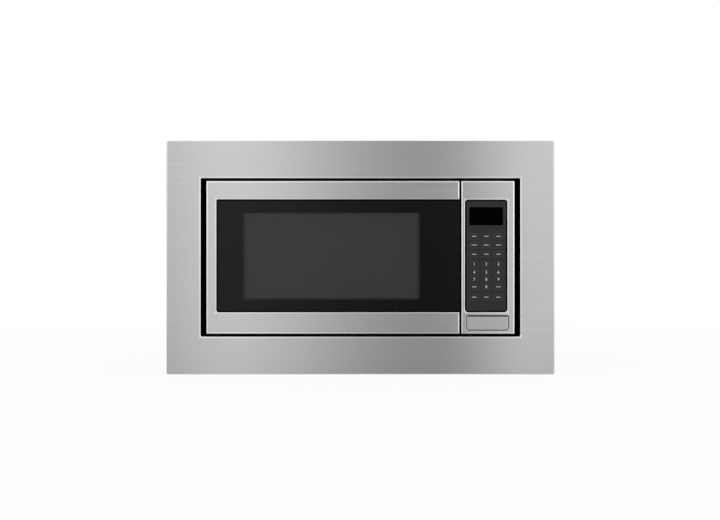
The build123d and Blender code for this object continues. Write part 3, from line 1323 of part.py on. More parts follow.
def port_outline(grow):
    """The waveguide's mouth in the cavity's right wall, as (Y, Z)."""
    return rect(
        CAVITY_Y - PORT_WIDTH / 2 - grow,
        CAVITY_Y + PORT_WIDTH / 2 + grow,
        GUIDE_Z - PORT_HEIGHT / 2 - grow,
        GUIDE_Z + PORT_HEIGHT / 2 + grow,
        PORT_CORNER,
    )


def waveguide():
    half_l, half_h = GUIDE_LENGTH / 2, GUIDE_HEIGHT / 2
    corner = PORT_CORNER + GUIDE_SHEET
    outline = rect(CAVITY_Y - half_l, CAVITY_Y + half_l, GUIDE_Z - half_h, GUIDE_Z + half_h, corner)
    inner = rect(
        CAVITY_Y - half_l + GUIDE_SHEET,
        CAVITY_Y + half_l - GUIDE_SHEET,
        GUIDE_Z - half_h + GUIDE_SHEET,
        GUIDE_Z + half_h - GUIDE_SHEET,
        PORT_CORNER,
    )
    guide = prism_x(outline, WORKS_LEFT, GUIDE_RIGHT)
    guide -= prism_x(inner, WORKS_LEFT, GUIDE_RIGHT - GUIDE_SHEET)
    hole = ANTENNA_RADIUS + ANTENNA_CLEARANCE
    return guide - rod_x(GUIDE_RIGHT - GUIDE_SHEET, GUIDE_RIGHT, CAVITY_Y, GUIDE_Z, hole)


def waveguide_cover():
    return prism_x(port_outline(MICA_MARGIN), CAVITY_RIGHT - MICA_THICKNESS, CAVITY_RIGHT)


def magnetron_yoke():
    """Steel frame round the tube, with the filter box on its far end."""
    half_h, half_d = YOKE_HEIGHT / 2, YOKE_DEPTH / 2
    outer = rect(YOKE_LEFT, YOKE_RIGHT, GUIDE_Z - half_h, GUIDE_Z + half_h, YOKE_SHEET)
    inner = rect(
        YOKE_LEFT + YOKE_SHEET,
        YOKE_RIGHT - YOKE_SHEET,
        GUIDE_Z - half_h + YOKE_SHEET,
        GUIDE_Z + half_h - YOKE_SHEET,
    )
    yoke = prism_y(outer - inner, CAVITY_Y - half_d, CAVITY_Y + half_d)
    yoke -= rod_x(YOKE_LEFT, YOKE_LEFT + YOKE_SHEET, CAVITY_Y, GUIDE_Z, ANTENNA_RADIUS + ANTENNA_CLEARANCE)
    box_d, box_h = half_d * 0.7, half_h * 0.8
    box = rect(CAVITY_Y - box_d, CAVITY_Y + box_d, GUIDE_Z - box_h, GUIDE_Z + box_h, YOKE_SHEET)
    return yoke + prism_x(box, YOKE_RIGHT, YOKE_RIGHT + FILTER_BOX)


def magnetron_tube():
    """Anode with a magnet at each end, and the antenna that reaches into the waveguide."""
    start, end = YOKE_LEFT + YOKE_SHEET, YOKE_RIGHT - YOKE_SHEET
    profile = Polyline(
        (YOKE_LEFT - ANTENNA_LENGTH, 0),
        (YOKE_LEFT - ANTENNA_LENGTH, ANTENNA_RADIUS),
        (start, ANTENNA_RADIUS),
        (start, MAGNET_RADIUS),
        (start + MAGNET_HEIGHT, MAGNET_RADIUS),
        (start + MAGNET_HEIGHT, ANODE_RADIUS),
        (end - MAGNET_HEIGHT, ANODE_RADIUS),
        (end - MAGNET_HEIGHT, MAGNET_RADIUS),
        (end, MAGNET_RADIUS),
        (end, 0),
        close=True,
    )
    tube = revolve(make_face(profile), Axis.X)
    return Pos(0, CAVITY_Y, GUIDE_Z) * tube


def magnetron_fins():
    half_h = YOKE_HEIGHT / 2 - YOKE_SHEET - SLIDE_CLEARANCE
    half_d = YOKE_DEPTH / 2 - 2 * YOKE_SHEET
    outline = rect(CAVITY_Y - half_d, CAVITY_Y + half_d, GUIDE_Z - half_h, GUIDE_Z + half_h)
    fin = outline - Pos(CAVITY_Y, GUIDE_Z) * Circle(ANODE_RADIUS + SEAT_CLEARANCE)
    start = YOKE_LEFT + YOKE_SHEET + MAGNET_HEIGHT
    pitch = (YOKE_WIDTH - 2 * YOKE_SHEET - 2 * MAGNET_HEIGHT) / (FIN_COUNT + 1)
    places = [start + pitch * (turn + 1) for turn in range(FIN_COUNT)]
    return [prism_x(fin, x - FIN_SHEET / 2, x + FIN_SHEET / 2) for x in places]


def thermal_cutouts():
    """Two snap discs: one on the magnetron's frame and one on the cavity's roof."""
    disc = rod_z(0, 0, 0, CUTOUT_HEIGHT, CUTOUT_RADIUS)
    tab = Rectangle(CUTOUT_TAB_WIDTH, CUTOUT_TAB_DEPTH)
    disc += prism_z(tab, CUTOUT_HEIGHT, CUTOUT_HEIGHT + CUTOUT_TAB_HEIGHT)
    on_yoke = Pos((YOKE_LEFT + YOKE_RIGHT) / 2, CAVITY_Y, GUIDE_Z + YOKE_HEIGHT / 2) * disc
    on_roof = Pos(CAVITY_X, CAVITY_Y, ROOF_Z + CAVITY_SHEET) * disc
    return [on_yoke, on_roof]


def core_middle():
    return WORKS_RIGHT - CORE_STACK / 2 - CORE_FROM_SIDE, REAR_INNER_Y - CORE_FROM_REAR


def transformer_core():
    x, y = core_middle()
    window_width = (CORE_DEPTH - CORE_LEG - 2 * CORE_SIDE_LEG) / 2
    window_height = CORE_HEIGHT - 2 * CORE_YOKE
    shape = rect(y - CORE_DEPTH / 2, y + CORE_DEPTH / 2, BASE_TOP, BASE_TOP + CORE_HEIGHT)
    for side in (-1, 1):
        middle = y + side * (CORE_LEG + window_width) / 2
        shape -= Pos(middle, BASE_TOP + CORE_HEIGHT / 2) * Rectangle(window_width, window_height)
    return prism_x(shape, x - CORE_STACK / 2, x + CORE_STACK / 2)


def transformer_windings():
    """Primary and secondary coils on the middle leg."""
    x, y = core_middle()
    window_width = (CORE_DEPTH - CORE_LEG - 2 * CORE_SIDE_LEG) / 2
    window_height = CORE_HEIGHT - 2 * CORE_YOKE
    inner = Rectangle(CORE_STACK + 2 * COIL_GAP, CORE_LEG + 2 * COIL_GAP)
    thickness = window_width - 2 * COIL_GAP
    outer = RectangleRounded(
        CORE_STACK + 2 * COIL_GAP + 2 * thickness, CORE_LEG + 2 * COIL_GAP + 2 * thickness, thickness * 0.6
    )
    ring = Pos(x, y) * (outer - inner)
    low = BASE_TOP + CORE_YOKE + COIL_GAP
    height = (window_height - 3 * COIL_GAP) / 2
    return [prism_z(ring, z, z + height) for z in (low, low + height + COIL_GAP)]


def capacitor_place():
    """Middle of the capacitor, as (X, Y, Z)."""
    x = WORKS_RIGHT - CAPACITOR_WIDTH / 2 - CAPACITOR_FROM_SIDE
    return x, CAVITY_Y - CAPACITOR_FORWARD, BASE_TOP + CAPACITOR_THICKNESS / 2 + CLAMP_SHEET


def capacitor_outline(grow):
    x, _, z = capacitor_place()
    return Pos(x, z) * SlotOverall(CAPACITOR_WIDTH + 2 * grow, CAPACITOR_THICKNESS + 2 * grow)


def capacitor():
    x, y, z = capacitor_place()
    half = CAPACITOR_LENGTH / 2
    can = prism_y(capacitor_outline(0), y - half, y + half)
    for side in (-1, 1):
        tab = Pos(x + side * TERMINAL_SPACING / 2, z) * Rectangle(TAB_WIDTH, TAB_SHEET)
        can += prism_y(tab, y - half - TERMINAL_LENGTH, y - half)
    return can


def capacitor_clamp():
    """Steel strap that holds the capacitor down on the base."""
    x, y, _ = capacitor_place()
    strap = capacitor_outline(CLAMP_SHEET) - capacitor_outline(SEAT_CLEARANCE)
    clamp = prism_y(strap, y - CLAMP_WIDTH / 2, y + CLAMP_WIDTH / 2)
    foot = rect(x - CAPACITOR_WIDTH / 2 - CLAMP_FOOT, x, y - CLAMP_WIDTH / 2, y + CLAMP_WIDTH / 2)
    return clamp + prism_z(foot, BASE_TOP, BASE_TOP + CLAMP_SHEET)


def hv_diode():
    """High-voltage diode with its earth lug on the base."""
    x, y, _ = capacitor_place()
    place_x = x - (CAPACITOR_WIDTH + CLAMP_FOOT) / 2
    start = y + CLAMP_WIDTH
    body_start = start + DIODE_LUG
    body = rod_y(place_x, body_start, body_start + DIODE_LENGTH, BASE_TOP + DIODE_RADIUS, DIODE_RADIUS)
    lug = rect(place_x - DIODE_RADIUS, place_x + DIODE_RADIUS, start, body_start + DIODE_RADIUS)
    return body + prism_z(lug, BASE_TOP, BASE_TOP + CLAMP_SHEET)


def noise_filter():
    """Mains filter board on posts, with its choke and fuse."""
    x = WORKS_LEFT + FILTER_FROM_WALL + FILTER_WIDTH / 2
    y = CAVITY_BACK_Y - FILTER_FROM_BACK + FILTER_LENGTH / 2
    low = BASE_TOP + FILTER_STANDOFF
    top = low + BOARD_THICKNESS
    board = prism_z(Pos(x, y) * Rectangle(FILTER_WIDTH, FILTER_LENGTH), low, top)
    spread_x, spread_y = FILTER_WIDTH - 2 * FILTER_POST_INSET, FILTER_LENGTH - 2 * FILTER_POST_INSET
    posts = Sketch() + GridLocations(spread_x, spread_y, 2, 2) * Circle(BOARD_POST_RADIUS)
    board += prism_z(Pos(x, y) * posts, BASE_TOP, low)
    board += rod_z(x, y + FILTER_COIL_RADIUS / 2, top, top + FILTER_COIL_HEIGHT, FILTER_COIL_RADIUS)
    fuse = Pos(x, y - FILTER_LENGTH / 2 + 2 * FUSE_WIDTH) * Rectangle(FUSE_LENGTH, FUSE_WIDTH)
    return board + prism_z(fuse, top, top + FUSE_WIDTH)


def lamp_axis():
    """Middle of the lamp's hole in the cavity's right wall, as (Y, Z)."""
    return CAVITY_BACK_Y - LAMP_FROM_BACK, GUIDE_Z


def lamp_holder():
    y, z = lamp_axis()
    half = LAMP_BOX / 2
    outline = rect(y - half, y + half, z - half, z + half, 2 * LAMP_BOX_WALL)
    box = prism_x(outline, WORKS_LEFT, WORKS_LEFT + LAMP_BOX_DEPTH)
    inner = half - LAMP_BOX_WALL
    hollow = rect(y - inner, y + inner, z - inner, z + inner, LAMP_BOX_WALL)
    return box - prism_x(hollow, WORKS_LEFT, WORKS_LEFT + LAMP_BOX_DEPTH - LAMP_BOX_WALL)


def lamp_bulb():
    """Small bulb whose cap stands on the back of its box."""
    y, z = lamp_axis()
    base = WORKS_LEFT + LAMP_BOX_DEPTH - LAMP_BOX_WALL
    tip = base - LAMP_LENGTH
    outline = Polyline(
        (tip, 0),
        (tip, LAMP_RADIUS * 0.4),
        (tip + LAMP_RADIUS * 0.5, LAMP_RADIUS * 0.9),
        (tip + LAMP_RADIUS, LAMP_RADIUS),
        (tip + LAMP_RADIUS * 1.5, LAMP_NECK_RADIUS),
        (base, LAMP_NECK_RADIUS),
        (base, 0),
        close=True,
    )
    return Pos(0, y, z) * revolve(make_face(outline), Axis.X)


# Cooling fan on the rear panel


def fan_ring(radius):
    return Pos(WORKS_X, FAN_Z) * Circle(radius)


def fan_shroud():
    """Moulded ring on the rear panel, with the cross that carries the motor."""
    bore, outer = FAN_RADIUS + FAN_TIP_GAP, FAN_RADIUS + FAN_TIP_GAP + FAN_RING_WALL
    side = 2 * (outer + FAN_PLATE_MARGIN)
    plate = Pos(WORKS_X, FAN_Z) * RectangleRounded(side, side, FAN_CORNER)
    shroud = prism_y(plate - fan_ring(bore), FAN_PLATE_Y, REAR_INNER_Y)
    shroud += prism_y(fan_ring(outer) - fan_ring(bore), FAN_RING_Y, FAN_PLATE_Y)
    span = bore + outer
    arms = Pos(WORKS_X, FAN_Z) * (Rectangle(span, SPIDER_WIDTH) + Rectangle(SPIDER_WIDTH, span))
    arms += fan_ring(outer) - fan_ring(bore)
    shroud += prism_y(arms, SPIDER_Y, FAN_RING_Y)
    return shroud - rod_y(WORKS_X, SPIDER_Y, FAN_RING_Y, FAN_Z, FAN_SHAFT_RADIUS + FAN_BORE_GAP)


def fan_motor():
    """Shaded-pole motor: a stack of plates with a coil on its lower leg."""
    front = SPIDER_Y - FAN_CORE_DEPTH
    half_w, half_h = FAN_CORE_WIDTH / 2, FAN_CORE_HEIGHT / 2
    low = FAN_Z - half_h - FAN_CORE_DROP
    window_w = half_w - FAN_CORE_WALL
    core = rect(WORKS_X - half_w, WORKS_X + half_w, low, FAN_Z + half_h - FAN_CORE_DROP, FAN_PLATE)
    core -= rect(WORKS_X - window_w, WORKS_X + window_w, low + FAN_CORE_WALL, low + 2 * FAN_CORE_WALL)
    motor = prism_y(core, front, SPIDER_Y)
    coil = Rectangle(2 * half_w - FAN_CORE_WALL, FAN_COIL_HEIGHT)
    motor += prism_y(Pos(WORKS_X, low + FAN_CORE_WALL / 2) * coil, front - FAN_COIL_DEPTH, front)
    motor += rod_y(WORKS_X, front - FAN_BEARING_DEPTH, front, FAN_Z, FAN_BEARING_RADIUS)
    bore = FAN_SHAFT_RADIUS + RUNNING_CLEARANCE
    return motor - rod_y(WORKS_X, front - FAN_COIL_DEPTH, SPIDER_Y, FAN_Z, bore)


def fan_shaft():
    front = SPIDER_Y - FAN_CORE_DEPTH - FAN_COIL_DEPTH + SLIDE_CLEARANCE
    return rod_y(WORKS_X, front, fan_front() + FAN_DEPTH - FAN_CAP, FAN_Z, FAN_SHAFT_RADIUS)


def fan_front():
    """The foremost edge of the blades."""
    return FAN_RING_Y + FAN_FRONT_GAP


def blade_section(radius, pitch, chord):
    """Section of a blade at a radius: a thin flat strip, turned to its pitch."""
    place = Plane(origin=(radius, 0, FAN_DEPTH / 2), x_dir=(0, 1, 0), z_dir=(1, 0, 0))
    return place * Rot(0, 0, pitch) * Rectangle(chord, BLADE_THICKNESS)


def fan_blade():
    """Five twisted blades on a hub."""
    front = fan_front()
    hub = rod_z(0, 0, 0, FAN_DEPTH, FAN_HUB_RADIUS)
    root = blade_section(FAN_HUB_RADIUS - BLADE_SINK, BLADE_ROOT_PITCH, BLADE_ROOT_CHORD)
    tip = blade_section(FAN_RADIUS, BLADE_TIP_PITCH, BLADE_TIP_CHORD)
    blade = loft([root, tip], ruled=True)
    for turn in range(FAN_BLADE_COUNT):
        hub += Rot(0, 0, turn * 360.0 / FAN_BLADE_COUNT) * blade
    hub -= rod_z(0, 0, 0, FAN_DEPTH - FAN_CAP + SLIDE_CLEARANCE, FAN_SHAFT_RADIUS + SEAT_CLEARANCE)
    return Pos(WORKS_X, front, FAN_Z) * Rot(-90, 0, 0) * hub


PIECES = {
    "trim_frame": trim_frame,
    "trim_brackets": trim_brackets,
    "cabinet_screws": cabinet_screws,
    "base_rails": base_rails,
    "feet": feet,
    "outer_case": outer_case,
    "base_plate": base_plate,
    "rear_panel": rear_panel,
    "cord_gland": cord_gland,
    "front_plate": front_plate,
    "cavity_wrap": cavity_wrap,
    "cavity_floor": cavity_floor,
    "cavity_back": cavity_back,
    "hinge_arms": hinge_arms,
    "hinge_bushes": hinge_bushes,
    "door_skin": door_skin,
    "door_glass": door_glass,
    "door_carrier": door_carrier,
    "door_screen_panel": door_screen_panel,
    "door_choke_cover": door_choke_cover,
    "door_inner_film": door_inner_film,
    "latch_hooks": latch_hooks,
    "latch_body": latch_body,
    "interlock_switches": interlock_switches,
    "switch_plungers": switch_plungers,
    "release_lever": release_lever,
    "control_panel_skin": control_panel_skin,
    "control_panel_carrier": control_panel_carrier,
    "keypad_membrane": keypad_membrane,
    "display_window": display_window,
    "display_module": display_module,
    "control_board": control_board,
    "open_button": open_button,
    "button_spring": button_spring,
    "turntable_motor": turntable_motor,
    "turntable_shaft": turntable_shaft,
    "turntable_coupler": turntable_coupler,
    "glass_tray": glass_tray,
    "roller_ring": roller_ring,
    "waveguide": waveguide,
    "waveguide_cover": waveguide_cover,
    "magnetron_yoke": magnetron_yoke,
    "magnetron_tube": magnetron_tube,
    "magnetron_fins": magnetron_fins,
    "thermal_cutouts": thermal_cutouts,
    "transformer_core": transformer_core,
    "transformer_windings": transformer_windings,
    "capacitor": capacitor,
    "capacitor_clamp": capacitor_clamp,
    "hv_diode": hv_diode,
    "noise_filter": noise_filter,
    "lamp_holder": lamp_holder,
    "lamp_bulb": lamp_bulb,
    "fan_shroud": fan_shroud,
    "fan_motor": fan_motor,
    "fan_shaft": fan_shaft,
    "fan_blade": fan_blade,
}


def write(name, made):
    """Writes one node: a single piece, or a group of like pieces."""
    pieces = made if isinstance(made, list) else [made]
    solids = [solid for piece in pieces for solid in piece.solids()]
    export_step(Compound(solids) if len(solids) > 1 else solids[0], f"parts/{name}.step")


os.makedirs("parts", exist_ok=True)
for name, make in PIECES.items():
    write(name, make())
for index, angle in enumerate(wheel_angles(), start=1):
    write(f"roller_wheel_{index}", roller_wheel(angle))
print("door hinge at", (HINGE_X, HINGE_Y), "lever pivot at", (LEVER_Y, LEVER_Z), "lever turn", LEVER_ANGLE)
print("turntable axis at", (CAVITY_X, CAVITY_Y), "wheel height", WHEEL_Z, "fan axis at", (WORKS_X, FAN_Z))
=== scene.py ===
import bmesh
import bpy
import json
import math
from mathutils import Matrix, Vector


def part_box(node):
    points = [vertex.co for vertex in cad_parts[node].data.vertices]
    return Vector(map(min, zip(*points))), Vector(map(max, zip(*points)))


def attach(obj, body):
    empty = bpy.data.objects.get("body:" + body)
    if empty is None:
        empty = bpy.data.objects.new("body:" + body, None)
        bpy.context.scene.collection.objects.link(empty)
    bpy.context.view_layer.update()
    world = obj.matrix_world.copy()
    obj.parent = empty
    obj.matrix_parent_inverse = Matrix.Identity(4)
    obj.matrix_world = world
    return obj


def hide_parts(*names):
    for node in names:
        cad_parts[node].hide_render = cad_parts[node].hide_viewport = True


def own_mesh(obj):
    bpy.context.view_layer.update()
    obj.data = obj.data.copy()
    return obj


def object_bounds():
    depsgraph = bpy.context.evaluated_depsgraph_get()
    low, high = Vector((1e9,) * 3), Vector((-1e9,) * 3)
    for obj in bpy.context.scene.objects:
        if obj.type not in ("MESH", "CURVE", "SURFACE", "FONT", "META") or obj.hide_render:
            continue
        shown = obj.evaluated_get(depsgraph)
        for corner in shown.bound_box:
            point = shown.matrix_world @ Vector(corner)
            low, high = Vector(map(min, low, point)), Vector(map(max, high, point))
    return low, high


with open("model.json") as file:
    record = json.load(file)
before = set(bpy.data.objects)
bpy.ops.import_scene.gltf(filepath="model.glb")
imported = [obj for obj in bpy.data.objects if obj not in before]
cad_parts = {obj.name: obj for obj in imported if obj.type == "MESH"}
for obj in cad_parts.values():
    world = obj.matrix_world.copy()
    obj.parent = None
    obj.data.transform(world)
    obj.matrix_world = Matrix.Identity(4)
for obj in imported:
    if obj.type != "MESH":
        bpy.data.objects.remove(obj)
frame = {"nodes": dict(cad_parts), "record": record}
cad_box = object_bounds()
nodes = frame["nodes"]

# Trim frame: one sheet of stainless steel, brushed along its length and folded round the opening.
# It screws to the brackets behind it and its lips rest on the cabinet's face. Its bends and the edges
# round each opening, here and on the door and panel, carry a painted highlight paler than the sheet.


class Wire:
    """A node's socket that takes part in arithmetic: each operation adds a Math node."""

    def __init__(self, tree, socket):
        self.tree = tree
        self.socket = socket

    def node(self, kind, sockets, output=0, **settings):
        """Adds a node with these settings and these values or wires on its sockets."""
        made = self.tree.nodes.new(kind)
        for name, value in settings.items():
            setattr(made, name, value)
        for key, value in sockets.items():
            if isinstance(value, Wire):
                self.tree.links.new(value.socket, made.inputs[key])
            else:
                made.inputs[key].default_value = value
        return Wire(self.tree, made.outputs[output])

    def math(self, operation, *others):
        return self.node("ShaderNodeMath", dict(enumerate((self,) + others)), operation=operation)

    def __add__(self, other):
        return self.math("ADD", other)

    __radd__ = __add__

    def __mul__(self, other):
        return self.math("MULTIPLY", other)

    __rmul__ = __mul__

    def __sub__(self, other):
        return self.math("SUBTRACT", other)

    def __rsub__(self, other):
        return self.node("ShaderNodeMath", {0: other, 1: self}, operation="SUBTRACT")

    def __gt__(self, other):
        return self.math("GREATER_THAN", other)

    def __lt__(self, other):
        return self.math("LESS_THAN", other)

    def size(self):
        return self.math("ABSOLUTE")

    def least(self, other):
        return self.math("MINIMUM", other)

    def most(self, other):
        return self.math("MAXIMUM", other)

    def ease(self, low, high):
        """0 below low, 1 above high, and smooth between them."""
        values = {0: self, 1: low, 2: high}
        return self.node("ShaderNodeMapRange", values, interpolation_type="SMOOTHSTEP")

    def tint(self, first, second):
        """The first colour where this is 0 and the second where it is 1."""
        ends = [c if isinstance(c, Wire) else (*c, 1.0) for c in (first, second)]
        values = {0: self, 6: ends[0], 7: ends[1]}
        return self.node("ShaderNodeMix", values, 2, data_type="RGBA")

    def axis(self, name):
        return self.node("ShaderNodeSeparateXYZ", {0: self}, "XYZ".index(name))

    def stretch(self, per_metre):
        """Coordinates with so many units to a metre along X, Y and Z."""
        return self.node("ShaderNodeVectorMath", {0: self, 1: per_metre}, operation="MULTIPLY")

    def noise(self, grain=1.0, detail=2.0):
        """Soft noise from 0 to 1, with grains of this size in the coordinates' own units."""
        values = {"Vector": self, "Scale": 1.0 / grain, "Detail": detail}
        return self.node("ShaderNodeTexNoise", values)


def new_finish(name, **constants):
    """A material whose shader has these constants, and its object coordinates."""
    material = bpy.data.materials.new(name)
    material.use_nodes = True
    tree = material.node_tree
    shader = tree.nodes["Principled BSDF"]
    sockets = {socket.name.lower().replace(" ", "_"): socket for socket in shader.inputs}
    for label, value in constants.items():
        sockets[label].default_value = value
    return material, Wire(tree, tree.nodes.new("ShaderNodeTexCoord").outputs["Object"])


def lay(material, socket, wire):
    """Feeds one socket of a material's shader."""
    tree = material.node_tree
    tree.links.new(wire.socket, tree.nodes["Principled BSDF"].inputs[socket])


def emboss(material, height, depth):
    """Shallow relief of this depth in metres."""
    bump = height.node("ShaderNodeBump", {"Strength": 1.0, "Distance": depth, "Height": height})
    lay(material, "Normal", bump)


def dress(material, *names):
    """Gives a finish to the nodes of these names."""
    for name in names:
        for slot in nodes[name].material_slots:
            slot.material = material


HAIRLINES_PER_METRE = (7.0, 60.0, 1500.0)
BANDS_PER_METRE = (1.6, 20.0, 170.0)
CLOUD, HAIRLINE_DEPTH = 0.35, 0.000006
DULL_STEEL, PALE_STEEL = (0.588, 0.589, 0.595), (0.728, 0.728, 0.731)
HIGHLIGHT_STEEL = (0.9, 0.9, 0.897)
steel, spot = new_finish("brushed_stainless", metallic=1.0, anisotropic=0.9, anisotropic_rotation=0.25)
hairlines = spot.stretch(HAIRLINES_PER_METRE).noise()
bands = spot.stretch(BANDS_PER_METRE).noise()
shade = 0.6 * hairlines + 0.2 * bands + 0.2 * spot.noise(CLOUD)
brushed = shade.tint(DULL_STEEL, PALE_STEEL)

OUTER_FOLD = 0.01
BEND_START, BEND_FULL = 0.01, 0.25
trim_low, trim_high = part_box("trim_frame")
from_sides = trim_high.x - spot.axis("X").size()
from_ends = (spot.axis("Z") - trim_low.z).least(trim_high.z - spot.axis("Z"))
normal = Wire(steel.node_tree, spot.socket.node.outputs["Normal"])
turned_away = 1.0 - normal.axis("Y").size()
# Painted highlight on bends that turn away from the front, but not near the trim's outer edges.
bend_highlight = turned_away.ease(BEND_START, BEND_FULL) * (from_sides.least(from_ends) > OUTER_FOLD)

OPENING_HALF_WIDTH, OPENING_BOTTOM, OPENING_TOP = 0.3108, 0.0577, 0.3653
EDGE_LINE, EDGE_FADE = 0.0026, 0.0038


def edge_line(low, high):
    """1 along the outline of a box, seen from the front, and 0 away from it."""
    out_x = (spot.axis("X") - (low.x + high.x) / 2.0).size() - (high.x - low.x) / 2.0
    out_z = (spot.axis("Z") - (low.z + high.z) / 2.0).size() - (high.z - low.z) / 2.0
    return 1.0 - out_x.most(out_z).size().ease(EDGE_LINE, EDGE_FADE)


# Painted highlight lines along the opening and the outlines of the door, glass, panel and keypad.
opening_low = Vector((-OPENING_HALF_WIDTH, 0.0, OPENING_BOTTOM))
opening_high = Vector((OPENING_HALF_WIDTH, 0.0, OPENING_TOP))
highlight_lines = edge_line(opening_low, opening_high)
for name in ("door_skin", "door_glass", "control_panel_skin", "keypad_membrane"):
    highlight_lines = highlight_lines.most(edge_line(*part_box(name)))

# The painted highlight is weaker on bends that face upwards, as these catch the most lamp light.
UPWARD_START, UPWARD_FULL, UPWARD_LOSS = 0.05, 0.4, 0.75
upward = normal.axis("Z").ease(UPWARD_START, UPWARD_FULL)
painted_highlight = bend_highlight.most(highlight_lines) * (1.0 - UPWARD_LOSS * upward)
lay(steel, "Base Color", painted_highlight.tint(brushed, HIGHLIGHT_STEEL))
lay(steel, "Roughness", 0.16 + 0.09 * hairlines + 0.03 * bands)
emboss(steel, hairlines, HAIRLINE_DEPTH)
dress(steel, "trim_frame")

# Brackets and filler strips: folded sheet with a matt black powder coat. They close the gap round
# the oven's front and tie the trim to the case.
MOTTLE_GRAINS, GLOSS_SPREAD = 30.0, 0.12


def coat(name, dark, light, grain, depth, roughness, **constants):
    """A sprayed or moulded skin: fine grain, slight mottle and uneven gloss."""
    material, place = new_finish(name, **constants)
    fine = place.noise(grain, 3.0)
    mottle = place.noise(grain * MOTTLE_GRAINS)
    lay(material, "Base Color", (0.5 * fine + 0.5 * mottle).tint(dark, light))
    lay(material, "Roughness", roughness - GLOSS_SPREAD / 2.0 + GLOSS_SPREAD * mottle)
    emboss(material, fine, depth)
    return material


bracket_black = coat(
    "bracket_black", (0.002, 0.002, 0.002), (0.005, 0.005, 0.005),
    grain=0.0009, depth=0.00004, roughness=0.7, specular_ior_level=0.02,
)
dress(bracket_black, "trim_brackets")

# Support rails, case, base and rear panel: zinc-plated sheet with the pale crystals that the
# plating leaves. The case is a folded wrap that screws to the rear panel. Its first few millimetres at
# the front are painted black: painted shade that keeps the gap round the door dark.
CRYSTALS_PER_METRE = 170.0
STREAKS_PER_METRE = (40.0, 40.0, 6.0)
GAP_SHADE_REACH, GAP_SHADE_FADE = 0.004, 0.003
SHEET_WAVE, SHEET_WAVE_DEPTH = 0.004, 0.00003
zinc, spot = new_finish("zinc_sheet")
crystals = spot.node("ShaderNodeTexVoronoi", {"Vector": spot, "Scale": CRYSTALS_PER_METRE}, "Color")
crystal = crystals.axis("X")
streaks = spot.stretch(STREAKS_PER_METRE).noise()
plating = (0.6 * crystal + 0.4 * streaks).tint((0.42, 0.43, 0.44), (0.52, 0.53, 0.535))
# Painted shade: black over the case's front edge, where it shows in the gap round the door.
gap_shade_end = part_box("outer_case")[0].y + GAP_SHADE_REACH
past_gap_shade = spot.axis("Y").ease(gap_shade_end, gap_shade_end + GAP_SHADE_FADE)
lay(zinc, "Base Color", past_gap_shade.tint((0.004, 0.004, 0.004), plating))
lay(zinc, "Metallic", past_gap_shade)
lay(zinc, "Roughness", 0.36 + 0.1 * crystal + 0.05 * streaks)
emboss(zinc, spot.noise(SHEET_WAVE), SHEET_WAVE_DEPTH)
dress(zinc, "base_rails", "outer_case", "base_plate", "rear_panel")

# Feet: four short stubs of moulded black rubber, fixed under the base. They stand on the rails and
# hold the base clear of them.
foot_rubber = coat(
    "foot_rubber", (0.012, 0.012, 0.012), (0.035, 0.034, 0.033),
    grain=0.0006, depth=0.00003, roughness=0.82,
)
dress(foot_rubber, "feet")

# Screws: plated steel with pan heads, along the brackets and the rear panel. A cross recess is
# pressed into each head, and a thin dark cross on the head stands for it, as the recess's painted shade.
TOOL_MARK, TOOL_MARK_DEPTH = 0.0012, 0.00001
plated, spot = new_finish("plated_screw", metallic=1.0)
tool_marks = spot.noise(TOOL_MARK, 4.0)
lay(plated, "Base Color", tool_marks.tint((0.46, 0.46, 0.47), (0.66, 0.66, 0.66)))
lay(plated, "Roughness", 0.22 + 0.2 * tool_marks)
emboss(plated, tool_marks, TOOL_MARK_DEPTH)
dress(plated, "cabinet_screws")

# Painted shade of the cross recesses, laid on the heads as thin dark crosses.
recess_dark = coat(
    "recess_dark", (0.006, 0.006, 0.006), (0.03, 0.03, 0.03),
    grain=0.0004, depth=0.00002, roughness=0.5, metallic=0.6,
)


def new_tree(name, *sizes):
    """A Geometry Nodes tree with a geometry input and named inputs, given as (label, kind)."""
    tree = bpy.data.node_groups.new(name, "GeometryNodeTree")
    tree.interface.new_socket("Geometry", in_out="OUTPUT", socket_type="NodeSocketGeometry")
    for label, kind in (("Geometry", "Geometry"), *sizes):
        tree.interface.new_socket(label, in_out="INPUT", socket_type="NodeSocket" + kind)
    start = tree.nodes.new("NodeGroupInput")
    return tree, [Wire(tree, socket) for socket in start.outputs[: len(sizes) + 1]]


def end_tree(tree, geometry, material):
    """Ends a tree: instances become one mesh, which takes the tree's material input."""
    whole = geometry.node("GeometryNodeRealizeInstances", {0: geometry})
    whole = whole.node("GeometryNodeSetMaterial", {"Geometry": whole, "Material": material})
    tree.links.new(whole.socket, tree.nodes.new("NodeGroupOutput").inputs[0])


def in_scene(name, data):
    """A new object in the scene with this mesh, text, camera or lamp."""
    made = bpy.data.objects.new(name, data)
    bpy.context.scene.collection.objects.link(made)
    return made


def plain_mesh(holder):
    """The mesh that an object has once it is worked out. The object itself is removed."""
    graph = bpy.context.evaluated_depsgraph_get()
    mesh = bpy.data.meshes.new_from_object(holder.evaluated_get(graph))
    bpy.data.objects.remove(holder)
    return mesh


def placed(name, mesh, body):
    """A piece of the object that rides on a body."""
    mesh.name = name
    piece = in_scene(name, mesh)
    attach(piece, body)
    return piece


def grown(name, tree, places, body, slot, **values):
    """The piece that a tree makes from points, as a plain mesh that rides on a body."""
    seed = bpy.data.meshes.new(name + "_places")
    seed.from_pydata(places, [], [])
    holder = in_scene(name + "_holder", seed)
    modifier = holder.modifiers.new("grow", "NODES")
    modifier.node_group = tree
    for item in tree.interface.items_tree:
        label = item.name.lower()
        if item.in_out == "INPUT" and label in values:
            modifier[item.identifier] = values[label]
    return placed(name, plain_mesh(holder), body)


def shape_of(name, build):
    """A small mesh, outside the scene, for a tree to repeat."""
    shape = bmesh.new()
    build(shape)
    bmesh.ops.recalc_face_normals(shape, faces=shape.faces)
    mesh = bpy.data.meshes.new(name)
    shape.to_mesh(mesh)
    shape.free()
    return bpy.data.objects.new(name, mesh)


